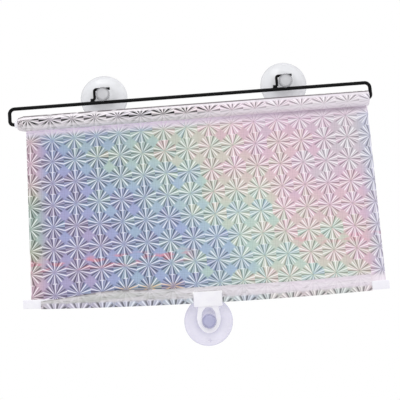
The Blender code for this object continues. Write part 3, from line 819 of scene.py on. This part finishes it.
def make_weld(side):
    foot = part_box(f"cup_hook_{side}")[0]
    middle = Vector((foot.x + FOOT_LENGTH / 2, WIRE_Y, (foot.z + ROD_Z + WIRE_D / 2) / 2))
    bead = bmesh.new()
    bmesh.ops.create_uvsphere(bead, u_segments=20, v_segments=10, radius=1.0)
    bead.transform(Matrix.Translation(middle) @ Matrix.Diagonal((*BEAD_SIZE, 1.0)))
    mesh = bpy.data.meshes.new(f"weld_bead_{side}")
    bead.to_mesh(mesh)
    bead.free()
    mesh.shade_smooth()
    mesh.materials.append(black_paint)
    weld = new_object(f"weld_bead_{side}", mesh)
    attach(weld, "bracket")


bracket = make_bracket()
for side in ("left", "right"):
    make_hook(side)
    make_weld(side)
print("bracket wire of", len(bracket.data.polygons), "faces")

# %% [markdown]
# ## Turned pieces
#
# The cups and the roller's plugs are round about one axis. A turned solid is a profile, distance from the
# axis against distance along it, repeated at equal angles. Writing the loop by hand closes the poles with
# single points, and the normals are then recalculated, so that every face points outwards.

# %% Turned solids
def closed_piece(name, points, faces, finish, sharp=30):
    shape = bmesh.new()
    vertices = [shape.verts.new(point) for point in points]
    for face in faces:
        shape.faces.new([vertices[index] for index in face])
    bmesh.ops.recalc_face_normals(shape, faces=shape.faces)
    mesh = bpy.data.meshes.new(name)
    shape.to_mesh(mesh)
    shape.free()
    mesh.shade_smooth()
    mesh.set_sharp_from_angle(angle=math.radians(sharp))
    mesh.materials.append(finish)
    return new_object(name, mesh)


def turned(name, profile, place, finish, around):
    """A profile of (distance from the axis, distance along it), turned. place puts a point in the frame."""
    rings, points, faces = [], [], []
    for radius, along in profile:
        if radius == 0.0:
            rings.append([len(points)] * around)
            points.append(place(0.0, 0.0, along))
            continue
        rings.append([len(points) + step for step in range(around)])
        for step in range(around):
            angle = 2 * math.pi * step / around
            points.append(place(radius * math.cos(angle), radius * math.sin(angle), along))
    last = len(rings) - 1 if profile[0][0] == 0.0 else len(rings)
    for index in range(last):
        near, far = rings[index], rings[(index + 1) % len(rings)]
        for step in range(around):
            after = (step + 1) % around
            faces.append(list(dict.fromkeys([near[step], near[after], far[after], far[step]])))
    return closed_piece(name, points, faces, finish)


def arc(centre, radius, start, end, steps):
    """Points along an arc between two angles in degrees. The radius may be a pair, for an ellipse."""
    wide, high = radius if isinstance(radius, tuple) else (radius, radius)
    angles = [math.radians(start + (end - start) * step / steps) for step in range(steps + 1)]
    return [(centre[0] + wide * math.cos(a), centre[1] + high * math.sin(a)) for a in angles]


print("a quarter of a circle in 2 steps:", [(round(x, 2), round(y, 2)) for x, y in arc((0, 0), 1, 0, 90, 2)])

# %% [markdown]
# ## Suction cups
#
# Each cup is one moulding of soft vinyl: a domed head, a neck that the hook or the tab holds, and a thin
# dish that flares to a flat lip. The dish has a low bead near its rim, where the mould's halves met, and a
# small nub where the vinyl was injected.

# %% Suction cups
def part_way(value, low, high):
    """How far a value is from low to high: 0 up to low, 1 from high on."""
    return min(max((value - low) / (high - low), 0.0), 1.0)


def add_values(mesh, **values):
    """One attribute for each name, with a number for each vertex."""
    for name, numbers in values.items():
        mesh.attributes.new(name, "FLOAT", "POINT").data.foreach_set("value", numbers)


def cup_profile():
    rim, head, neck, shoulder = 0.0260, 0.0078, 0.00525, 0.0075
    back, front, side = 0.01725, 0.02255, 0.0030
    profile = [(0.0, front)]
    profile += arc((0.0, back + side), (head, front - back - side), 84, 0, 9)
    profile += arc((head - 0.0005, back + 0.0005), 0.0005, 0, -90, 4)
    profile += arc((neck + 0.0004, back - 0.0004), 0.0004, 90, 180, 4)
    profile += [(neck, 0.0134)] + arc((neck + 0.0006, 0.0133), 0.0006, 180, 250, 4)
    edge, top = 0.0009, 0.01195
    bead_radius, bead_width, bead_height = 0.0238, 0.0006, 0.00018
    for step in range(1, 29):
        share = step / 28
        radius = shoulder + (rim - shoulder) * share
        height = edge + (top - edge) * (1 - share) ** 1.5
        bead = bead_height * math.exp(-((radius - bead_radius) / bead_width) ** 2)
        profile.append((radius, height + bead))
    lip, hollow = 0.0242, 0.0060
    profile += [(rim + 0.0001, edge / 2), (rim, 0.0), (lip, 0.0)]
    for step in range(1, 14):
        radius = lip * (1 - step / 14)
        profile.append((radius, hollow * (1 - (radius / lip) ** 2)))
    return profile + [(0.0, hollow)]


def vinyl_values(cup, cx, cz):
    """Where the vinyl is thick, where the head's rim is, and the painted shade on the dish."""
    depth, rim, ring = [], [], []
    for vertex in cup.data.vertices:
        x, y, z = vertex.co
        radius = math.hypot(x - cx, z - cz)
        depth.append(part_way(-y, 0.0105, 0.0170))
        rim.append(part_way(radius, 0.0052, 0.0068) if -y > 0.0168 else 0.0)
        ring.append(0.42 * math.exp(-((radius - 0.0118) / 0.0034) ** 2)
                    + 0.38 * math.exp(-((radius - 0.0262) / 0.0009) ** 2))
    add_values(cup.data, depth=depth, rim=rim, ring=ring)


print("cup profile of", len(cup_profile()), "points")

# %% Cups in their places
NUB_PROFILE = [(0.0, 0.0034), (0.0007, 0.0033), (0.0011, 0.0029), (0.0013, 0.0012), (0.0, 0.0012)]
NUB_OUT = 0.0205


def make_cup(side, body, finish, nub_angle):
    low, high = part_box(f"suction_cup_{side}")
    cx, cz = (low.x + high.x) / 2, (low.z + high.z) / 2
    cup = turned(f"cup_{side}_vinyl", cup_profile(), lambda a, b, d: (cx + a, -d, cz + b), finish, 96)
    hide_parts(f"suction_cup_{side}")
    vinyl_values(cup, cx, cz)
    nx, nz = cx + NUB_OUT * math.cos(nub_angle), cz + NUB_OUT * math.sin(nub_angle)
    nub = turned(f"cup_{side}_nub", NUB_PROFILE, lambda a, b, d: (nx + a, -d, nz + b), finish, 24)
    for piece in (cup, nub):
        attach(piece, body)
    return cup


cups = [make_cup("left", "cup_left", cup_vinyl, math.radians(250)),
        make_cup("right", "cup_right", cup_vinyl, math.radians(300)),
        make_cup("bottom", "cup_bottom", tab_cup_vinyl, math.radians(-90))]
print("cups of", len(cups[0].data.polygons), "faces")

# %% [markdown]
# ## Roller
#
# Inside the roll is a thin metal tube with a plug in each end. The left plug turns on the wire's tip. The
# right tip holds a spindle still, and a coil spring between the spindle and a plug in the tube rolls the
# film up. The inner pieces keep their solids with a finish of their own, and the two plugs, whose ends
# show, are turned again with softened edges.

# %% Roller pieces
HUB_X = ARM_X - WIRE_D / 2 - 0.0036
FLANGE_X = HUB_X - 0.0025
FLANGE_T = 0.0014


def make_plug(side, bore, hub):
    sign = -1 if side == "left" else 1
    soft, flange, spigot, length = 0.0003, 0.0060, 0.0049, 0.0126
    inner = FLANGE_X - FLANGE_T
    profile = [(bore + soft, HUB_X), (hub - soft, HUB_X), (hub, HUB_X - soft), (hub, FLANGE_X),
               (flange - soft, FLANGE_X), (flange, FLANGE_X - soft), (flange, inner + soft),
               (flange - soft, inner), (spigot, inner), (spigot, inner - length + soft),
               (spigot - 0.0004, inner - length), (bore, inner - length), (bore, HUB_X - soft)]
    place = (lambda a, b, d: (sign * d, WIRE_Y + a, ROLLER_Z + b))
    plug = turned(f"plug_{side}", profile, place, white_plastic, 64)
    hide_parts(f"end_plug_{side}")
    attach(plug, "roller")


make_plug("left", 0.00205, 0.00375)
make_plug("right", 0.0038, 0.0049)
for node, finish in (("roller_tube", tube_metal), ("spring_anchor", white_inner),
                     ("spring_spindle", white_inner), ("spindle_clip", spring_steel),
                     ("film_tape", clear_tape)):
    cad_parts[node].data.materials.clear()
    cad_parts[node].data.materials.append(finish)
print("hub ends at x", round(HUB_X, 4), "flanges at x", round(FLANGE_X, 4))

# %% [markdown]
# The coil spring is round wire too, so its line goes through the same Geometry Nodes tree. Two close
# turns grip the spindle, and the others are wider and further apart, in the solid's own box.

# %% Coil spring
COIL_R = 0.0038
GRIP_R = 0.00275
COIL_WIRE = 0.0009


def make_spring():
    low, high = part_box("torsion_spring")
    grip_turns, turns, per_turn, grip_pitch = 2, 16, 24, 0.0013
    start = high.x - COIL_WIRE / 2
    end = low.x + 0.0025 + CLEAR + COIL_WIRE / 2
    pitch = (start - end - grip_turns * grip_pitch) / (turns - grip_turns)
    points = []
    for step in range(turns * per_turn + 1):
        turn = step / per_turn
        radius = GRIP_R + (COIL_R - GRIP_R) * part_way(turn, grip_turns, grip_turns + 1)
        travel = min(turn, grip_turns) * grip_pitch + max(turn - grip_turns, 0.0) * pitch
        angle = 2 * math.pi * (turn - turns)
        y, z = WIRE_Y + radius * math.cos(angle), ROLLER_Z + radius * math.sin(angle)
        points.append((start - travel, y, z))
    points.append((low.x, WIRE_Y + COIL_R, ROLLER_Z))
    spring = wire_piece("coil_spring", points, COIL_WIRE, 10, spring_steel)
    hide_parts("torsion_spring")
    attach(spring, "roller")
    return spring


spring = make_spring()
print("coil spring of", len(spring.data.polygons), "faces")

# %% [markdown]
# ## The wound film
#
# The roll is one sheet that winds inwards, each turn a little nearer the tube and a little further left,
# because the film was wound askew. Its UV map holds the distance along the film, so the stars run on from
# the panel. On the roll they are drawn a sixth closer together and lean a little, as they look in the
# photograph. A painted glare is strong on the upper front, where light from above glances off, and on the
# underside it lightens the film against the shade there. The attribute named tone is 0 in a line of
# painted shade along the top.

# %% Turns and maps
INNER_R = TUBE_R + 0.0002 + 2 * CLEAR
TURNS = 8
PER_TURN = 72
WOUND_T = 0.00012
TURN_STEP = (ROLL_R - INNER_R - WOUND_T) / TURNS
PANEL_START = 0.0030
WOUND_SHIFT = 0.0065
ROLL_SQUEEZE = 1.2
ROLL_LEAN = 0.0108
# Angles of a line of painted shade along the top of the roll.
SHADE_LINE_ARC = (math.radians(43), math.radians(97))


def film_shift(drop):
    """How far right the film's middle lies, at this drop below the roller's axis."""
    return FILM_OFFSET + FILM_SKEW * (STRIP_DROP / 2 - drop)


def add_film_map(mesh, places):
    """A UV map named film that gives each vertex its metres across and along the film."""
    layer = mesh.uv_layers.new(name="film")
    for loop in mesh.loops:
        layer.data[loop.index].uv = places[loop.vertex_index]


def stacked_faces(count, layers):
    """Faces of a closed tube through layers of count points each: the two ends, then the sides."""
    last = count * (layers - 1)
    faces = [list(range(count)), list(range(last, last + count))]
    for start in range(0, last, count):
        for side in range(count):
            after = (side + 1) % count
            faces.append([start + side, start + after, start + count + after, start + count + side])
    return faces


def turn_lengths(radii):
    """How far along the film each step is: 0 where the film leaves the roll, less inside it."""
    lengths = [0.0] * len(radii)
    for step in range(len(radii) - 2, -1, -1):
        lengths[step] = lengths[step + 1] - (radii[step] + WOUND_T / 2) * 2 * math.pi / PER_TURN
    return lengths


print("turns are", round(1000 * TURN_STEP, 3), "mm apart")

# %% Film roll
def make_roll():
    steps = TURNS * PER_TURN
    radii = [INNER_R + TURN_STEP * step / PER_TURN for step in range(steps + 1)]
    lengths = turn_lengths(radii)
    points, places, wash, tone = [], [], [], []
    for step, (radius, along) in enumerate(zip(radii, lengths)):
        shift = film_shift(0.0) - WOUND_SHIFT * along / lengths[0]
        low, high = shift - FILM_WIDTH / 2, shift + FILM_WIDTH / 2
        angle = 2 * math.pi * (steps - step) / PER_TURN
        upper, front = math.sin(angle), -math.cos(angle)
        # Painted glare on the upper part, painted light on the underside against its shade, and a line of
        # painted shade along the top.
        light = 0.90 * part_way(upper, 0.26, 0.40) + 0.8 * part_way(-upper, 0.30, 0.60)
        pale = 0.0 if SHADE_LINE_ARC[0] < math.atan2(upper, front) < SHADE_LINE_ARC[1] else 1.0
        for x, r in ((low, radius), (high, radius), (high, radius + WOUND_T), (low, radius + WOUND_T)):
            points.append((x, WIRE_Y + r * math.cos(angle), ROLLER_Z + r * math.sin(angle)))
            lean = ROLL_LEAN * (x + 0.17) * min(-along / 0.02, 1.0)
            places.append((x, ROLL_SQUEEZE * along + lean))
            wash.append(light)
            tone.append(pale)
    tail = PANEL_START - CLEAR
    for x, y, z in points[-4:]:
        points.append((x, y, z - tail))
        places.append((x, tail))
        wash.append(0.3)
        tone.append(1.0)
    roll = closed_piece("film_wound", points, stacked_faces(4, len(points) // 4), wound_finish, 35)
    add_film_map(roll.data, places)
    add_values(roll.data, wash=wash, tone=tone)
    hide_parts("film_roll")
    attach(roll, "roller")
    return -lengths[0]


wound_length = make_roll()
print("film on the roller:", round(wound_length * 1000), "mm")

# %% [markdown] ## The hanging film The panel is a thin sheet from the back of the roll to the back of
# the strip, so it comes forward 7 mm on its way down. The sheet's depth follows the inverse of an easing
# curve, which differs from a flat slant by half a millimetre. The first 3 mm hang straight, clear of the
# roll. Solidify gives the sheet its thickness.

# %% Sheets
def strip_point(along, height):
    """(x, z) of a point so far along the bowed and tilted strip, and so high above its middle."""
    z = height + STRIP_BOW * (2 * along / STRIP_LENGTH) ** 2
    return (along * math.cos(STRIP_TILT) + z * math.sin(STRIP_TILT),
            STRIP_Z - along * math.sin(STRIP_TILT) + z * math.cos(STRIP_TILT))


def sheet_piece(name, grid, finish, places=None, skip=None, thickness=FILM_T, **values):
    """A sheet through a grid of points. skip leaves out faces of the grid, and values become attributes."""
    wide = len(grid[0])
    faces = [[r * wide + c, r * wide + c + 1, (r + 1) * wide + c + 1, (r + 1) * wide + c]
             for r in range(len(grid) - 1) for c in range(wide - 1) if not (skip and skip(r, c))]
    mesh = bpy.data.meshes.new(name)
    mesh.from_pydata([point for line in grid for point in line], [], faces)
    mesh.materials.append(finish)
    if places:
        add_film_map(mesh, [place for line in places for place in line])
    for label, lines in values.items():
        add_values(mesh, **{label: [value for line in lines for value in line]})
    obj = new_object(name + "_sheet", mesh)
    wall = obj.modifiers.new("film_thickness", "SOLIDIFY")
    wall.thickness = thickness
    wall.offset = 0.0
    return settled(obj, name, 60)


def ease(value, low, high):
    share = part_way(value, low, high)
    return share * share * (3 - 2 * share)


def uneased(share):
    """The value that the easing curve 3t^2 - 2t^3 takes to this share."""
    return 0.5 - math.sin(math.asin(1 - 2 * share) / 3)


print("the easing curve passes", ease(0.25, 0.0, 1.0), "at a quarter of its way")

# %% Hanging sheet
PANEL_T = 0.0001
STRAIGHT_ROWS = 2
STRAIGHT_STEP = 0.0015
CUTOUT_TOP = 0.0071
CUTOUT_REACH = 0.018


def make_panel():
    columns, rows = 190, 96
    top_y = WIRE_Y + ROLL_R + FILM_T / 2 + 0.0001
    foot_y = WIRE_Y + STRIP_T / 2 + 2 * CLEAR - FILM_T / 2
    top_shift, low_shift = film_shift(PANEL_START), film_shift(STRIP_DROP)
    grid, wash, glint = [], [], []
    for row in range(rows + 1):
        line, light, spark = [], [], []
        for column in range(columns + 1):
            across = FILM_WIDTH * (column / columns - 0.5)
            foot = low_shift + across
            height = CUTOUT_TOP if abs(foot) < CUTOUT_REACH else STRIP_HEIGHT / 2 + CLEAR
            foot_x, foot_z = strip_point(foot, height)
            share = max(row - STRAIGHT_ROWS, 0) / (rows - STRAIGHT_ROWS)
            top_z = ROLLER_Z - PANEL_START - STRAIGHT_STEP * min(row, STRAIGHT_ROWS)
            x = (top_shift + across) * (1 - share) + foot_x * share
            z = top_z * (1 - share) + foot_z * share
            drop = ROLLER_Z - z
            line.append((x, top_y + (foot_y - top_y) * uneased(share), z))
            # Painted glare low on the right near the strip, and a painted orange glint at the fold on the
            # left.
            light.append(0.85 * ease(drop, 0.190, 0.196) * ease(x, 0.09, 0.15))
            spark.append(ease(drop, 0.183, 0.187) * ease(x, -0.103, -0.091) * (1 - ease(x, -0.031, -0.019)))
        grid.append(line)
        wash.append(light)
        glint.append(spark)
    panel = sheet_piece("film_hanging", grid, panel_finish, thickness=PANEL_T, wash=wash, glint=glint)
    STRIP_DROP - PANEL_START - STRIP_HEIGHT / 2
    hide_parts("film_panel")
    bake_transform(panel)
    return panel


panel = make_panel()
print("hanging film of", len(panel.data.polygons), "faces")

# %% [markdown]
# ## The strip and the hem
#
# The strip is a flat white bar with round edges, bowed by the pull of the film. The film goes down behind
# it, under it and up its front, and its free end lies against the panel above. At the left that end was
# folded over aslant, so its upper edge rises from the strip. At the tab the hem is cut away.

# %% Strip
def bar_section(thickness, height, radius, steps=5):
    y, z = thickness / 2 - radius, height / 2 - radius
    section = []
    for quarter, middle in enumerate(((y, z), (-y, z), (-y, -z), (y, -z))):
        section += arc(middle, radius, 90 * quarter, 90 * quarter + 90, steps)
    return section


def make_strip():
    stations = 72
    section = bar_section(STRIP_T, STRIP_HEIGHT, 0.00122)
    points = []
    for step in range(stations + 1):
        along = STRIP_LENGTH * (step / stations - 0.5)
        for y, z in section:
            x, world_z = strip_point(along, z)
            points.append((x, WIRE_Y + y, world_z))
    strip = closed_piece("hem_strip", points, stacked_faces(len(section), stations + 1), white_plastic, 35)
    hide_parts("bottom_rail")
    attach(strip, "curtain")
    return strip


strip = make_strip()
print("strip of", len(strip.data.polygons), "faces")

# %% The hem's line
HEM_LENGTH = 0.3510
CUTOUT_HALF = 0.0156
FLAP_LOW = 0.0030
FLAP_TOP = 0.0120
FLAP_SLANT = 0.070
BACK_ROWS = 3
BACK_STEP = 0.0026
FOLD_STEPS = 12
LOW_ROWS = 8
UPPER_ROWS = 4


def flap_top(along):
    """How high the free end of the film reaches: low at the left, where it was folded over aslant."""
    share = part_way(along, -HEM_LENGTH / 2, -HEM_LENGTH / 2 + FLAP_SLANT)
    return FLAP_LOW + (FLAP_TOP - FLAP_LOW) * share + 0.0003 * math.sin(along * 47.0) * share


def hem_line(top):
    """(y, z) from the back of the strip, under it and up its front to the film's free end."""
    leg = STRIP_T / 2 + CLEAR + FILM_T / 2
    front = STRIP_T / 2 - FILM_T / 2
    foot = -(STRIP_HEIGHT - STRIP_T) / 2
    line = [(leg, STRIP_HEIGHT / 2 - CLEAR - step * BACK_STEP) for step in range(BACK_ROWS)]
    line += arc((0.0, foot), leg, 0, -180, FOLD_STEPS)
    at_cutout = (CUTOUT_TOP - foot) / (FLAP_TOP - foot)
    shares = [at_cutout * step / LOW_ROWS for step in range(1, LOW_ROWS + 1)]
    shares += [at_cutout + (1 - at_cutout) * step / UPPER_ROWS for step in range(1, UPPER_ROWS + 1)]
    for share in shares:
        z = foot + (top - foot) * share
        over = ease(z, STRIP_HEIGHT / 2 + 0.0005, STRIP_HEIGHT / 2 + 0.0040)
        line.append((-leg + (leg + front) * over, z))
    return line


print("hem line of", len(hem_line(FLAP_TOP)), "points")

# %% Hem
HEM_PATTERN = 0.0085


def make_hem():
    half = HEM_LENGTH / 2
    right = [CUTOUT_HALF + (half - CUTOUT_HALF) * step / 60 for step in range(61)]
    middle = [-CUTOUT_HALF + CUTOUT_HALF * step / 4 for step in range(1, 8)]
    alongs = [-a for a in reversed(right)] + middle + right
    lines = [hem_line(FLAP_TOP if abs(a) <= CUTOUT_HALF else flap_top(a)) for a in alongs]
    rows = len(lines[0])
    front_row = BACK_ROWS + FOLD_STEPS // 2
    grid, places, wash, tone = [], [], [], []
    for index in range(rows):
        points, maps, light, pale = [], [], [], []
        for along, line in zip(alongs, lines):
            y, z = line[index]
            ripple = 0.00012 * math.sin(along * 210.0 + index) if index > rows - 4 else 0.0
            x, world_z = strip_point(along, z)
            points.append((x, WIRE_Y + y - ripple, world_z))
            length = sum(math.dist(line[step], line[step + 1]) for step in range(index))
            maps.append((x, STRIP_DROP - STRIP_HEIGHT / 2 + length + HEM_PATTERN))
            # Painted glare on the front of the hem above the strip's middle, and painted shadow along the
            # flap's free upper edge at the left.
            light.append(0.88 * part_way(z, -0.0006, 0.0014) if index >= front_row else 0.2)
            pale.append((0.15 if index == rows - 1 else 0.5) if index > rows - 3 and along < -0.06 else 1.0)
        grid.append(points)
        places.append(maps)
        wash.append(light)
        tone.append(pale)
    cutout = range(len(right) - 1, len(right) + len(middle))
    cutout_row = BACK_ROWS + FOLD_STEPS + LOW_ROWS
    hem = sheet_piece("film_folded", grid, hem_finish, places, wash=wash, tone=tone,
                      skip=lambda r, c: r < cutout_row and c in cutout)
    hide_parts("film_hem")
    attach(hem, "curtain")
    return hem


hem = make_hem()
print("hem of", len(hem.data.polygons), "faces, its stars shifted", 1000 * HEM_PATTERN, "mm along the film")

# %% [markdown]
# ## Pull tab
#
# One white moulding: a block that the strip runs through, and a tongue with a raised lip round an oval
# hole for the bottom cup's neck. It is built as the mould would be, from plain bodies joined by Booleans,
# with the slot and the hole cut out, and a Bevel softens every edge last.

# %% Slabs and Booleans
TAB_HALF = 0.0150
TAB_TOP = 0.0065
TAB_BOTTOM = -0.0090
HOLE_Z = -0.0198
HOLE = (0.0076, 0.01015)


def slab(name, outline, front, back):
    """A flat slab with an outline of (x, z) points, from y = front to y = back, about the strip's middle."""
    points = [(x, y, z) for y in (front, back) for x, z in outline]
    return closed_piece(name, points, stacked_faces(len(outline), 2), white_plastic)


def cut_or_join(target, other, operation):
    modifier = target.modifiers.new(other.name, "BOOLEAN")
    modifier.solver = "EXACT"
    modifier.operation = operation
    modifier.object = other


print("tab", round(2000 * TAB_HALF), "mm wide, its hole", [round(2000 * half, 1) for half in HOLE], "mm")

# %% Pull tab
def make_tab():
    corner = 0.0010
    block_line = []
    for quarter, (x, z) in enumerate(((TAB_HALF, TAB_TOP), (-TAB_HALF, TAB_TOP), (-TAB_HALF, TAB_BOTTOM),
                                      (TAB_HALF, TAB_BOTTOM))):
        middle = (x - math.copysign(corner, x), z - math.copysign(corner, z))
        block_line += arc(middle, corner, 90 * quarter, 90 * quarter + 90, 4)
    block = slab("tab_block", block_line, -0.0031, 0.0031)
    shoulder = TAB_BOTTOM - 0.00065
    side = [(0.0109, TAB_BOTTOM + 0.002), (0.0109, shoulder), (0.0112, shoulder - 0.0030),
            (0.0119, shoulder - 0.0065)]
    tongue_line = side + arc((0.0, HOLE_Z), (0.0125, 0.01715), 0, -180, 48)
    tongue_line += [(-x, z) for x, z in reversed(side)]
    tongue = slab("tab_tongue", tongue_line, -0.0012, 0.0012)
    lip = slab("tab_lip", arc((0.0, HOLE_Z), (HOLE[0] + 0.0014, HOLE[1] + 0.0007), 0, 360, 64)[:-1],
               -0.0017, 0.0)
    hole = slab("tab_hole", arc((0.0, HOLE_Z), HOLE, 0, 360, 64)[:-1], -0.006, 0.006)
    slot_section = bar_section(STRIP_T + 2 * CLEAR, STRIP_HEIGHT + 2 * CLEAR, 0.0012)
    slot_points = [(x, y, z) for x in (-0.02, 0.02) for y, z in slot_section]
    slot = closed_piece("tab_slot", slot_points, stacked_faces(len(slot_section), 2), white_plastic)
    for other, operation in ((tongue, "UNION"), (lip, "UNION"), (slot, "DIFFERENCE"), (hole, "DIFFERENCE")):
        cut_or_join(block, other, operation)
    edges = block.modifiers.new("soft_edges", "BEVEL")
    edges.width = 0.00035
    edges.segments = 3
    edges.limit_method = "ANGLE"
    edges.angle_limit = math.radians(40)
    edges.use_clamp_overlap = True
    edges.harden_normals = True
    tab = settled(block, "pull_tab_moulding", 35)
    for other in (tongue, lip, slot, hole):
        bpy.data.objects.remove(other)
    place = Matrix.Translation((0.0, WIRE_Y, STRIP_Z)) @ Matrix.Rotation(STRIP_TILT, 4, "Y")
    tab.data.transform(place)
    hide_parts("pull_tab")
    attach(tab, "curtain")
    return tab


tab = make_tab()
print("tab of", len(tab.data.polygons), "faces")

# %% [markdown]
# ## Studio
#
# The shade hangs over a plain pale floor in an even white room. The world is the soft light of the room.
# The background is white because rays that reach the camera straight, or by a reflection, see a white
# world, while the light that falls on the shade stays at a plain level. The floor fades to the same white
# far out.

# %% Floor
FLOOR_Z = -0.78
FLOOR_R = 6.0


def light_path(tree):
    node = tree.nodes.new("ShaderNodeLightPath")
    return {socket.name: Term(socket) for socket in node.outputs}


def show_mixed(tree, share, first, second, output):
    """Send a mix of two shaders to the tree's output node."""
    mix = tree.nodes.new("ShaderNodeMixShader")
    feed(mix.inputs[0], share)
    tree.links.new(first.outputs[0], mix.inputs[1])
    tree.links.new(second.outputs[0], mix.inputs[2])
    tree.links.new(mix.outputs[0], tree.nodes[output].inputs["Surface"])


def floor_finish():
    material, tree, shader = new_finish("pale_floor", 0.9, specular=0.1)
    place = object_place(tree)
    feed(shader.inputs["Base Color"], blend(noise(place, 3.0), linear(244, 244, 244), linear(240, 240, 240)))
    glow = tree.nodes.new("ShaderNodeEmission")
    glow.inputs["Strength"].default_value = 1.0
    x, y, _ = parts_of(place)
    far_out = smooth(calc("SQRT", x * x + y * y), 0.35, 1.3)
    show_mixed(tree, light_path(tree)["Is Camera Ray"] * far_out, shader, glow, "Material Output")
    return material


def add_floor():
    shape = bmesh.new()
    bmesh.ops.create_circle(shape, cap_ends=True, cap_tris=False, segments=96, radius=FLOOR_R)
    mesh = bpy.data.meshes.new("floor")
    shape.to_mesh(mesh)
    shape.free()
    mesh.transform(Matrix.Translation((0.0, 0.0, FLOOR_Z)))
    mesh.materials.append(floor_finish())
    floor = new_object("floor", mesh)
    floor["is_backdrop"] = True


add_floor()
print("floor at z", FLOOR_Z)

# %% World
ROOM_LIGHT = 0.85


def add_world(level):
    world = bpy.data.worlds.new("white_room")
    world.use_nodes = True
    tree = world.node_tree
    lit, seen = tree.nodes["Background"], tree.nodes.new("ShaderNodeBackground")
    for background, strength in ((lit, level), (seen, 1.0)):
        background.inputs["Color"].default_value = (1.0, 1.0, 1.0, 1.0)
        background.inputs["Strength"].default_value = strength
    rays = light_path(tree)
    mirrored = calc("MAXIMUM", rays["Is Glossy Ray"], rays["Is Transmission Ray"])
    show_mixed(tree, calc("MAXIMUM", rays["Is Camera Ray"], mirrored), lit, seen, "World Output")
    bpy.context.scene.world = world


add_world(ROOM_LIGHT)
print("room light of strength", ROOM_LIGHT)

# %% [markdown]
# Three large round lamps add a little direction to the room's light: one in front, one above and one
# behind.

# %% Lamps
LIT_POINT = Vector((0.0, 0.0, -0.12))


def add_lamp(name, place, size, power):
    data = bpy.data.lights.new(name, "AREA")
    data.shape = "DISK"
    data.size = size
    data.energy = power
    lamp = new_object(name, data)
    lamp.location = place
    lamp.rotation_euler = (LIT_POINT - Vector(place)).to_track_quat("-Z", "Y").to_euler()
    return lamp


lamps = [add_lamp("key_softbox", (0.5, -2.2, 0.9), 1.2, 5.0),
         add_lamp("top_softbox", (-0.3, -0.5, 1.5), 0.8, 5.0),
         add_lamp("back_softbox", (0.8, 1.4, 0.7), 0.9, 9.0)]
bpy.context.scene.view_settings.view_transform = "Standard"
print("lamps of", [lamp.data.energy for lamp in lamps], "watts")

# %% [markdown]
# ## Finish
#
# The visual model has to stay in the solid model's box, give or take a few millimetres, so both boxes are
# written down for comparison before the scene is checked.

scene_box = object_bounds()
{"cad": [list(corner) for corner in cad_box], "scene": [list(corner) for corner in scene_box]}
print("scene from", [round(v, 4) for v in scene_box[0]], "to", [round(v, 4) for v in scene_box[1]])
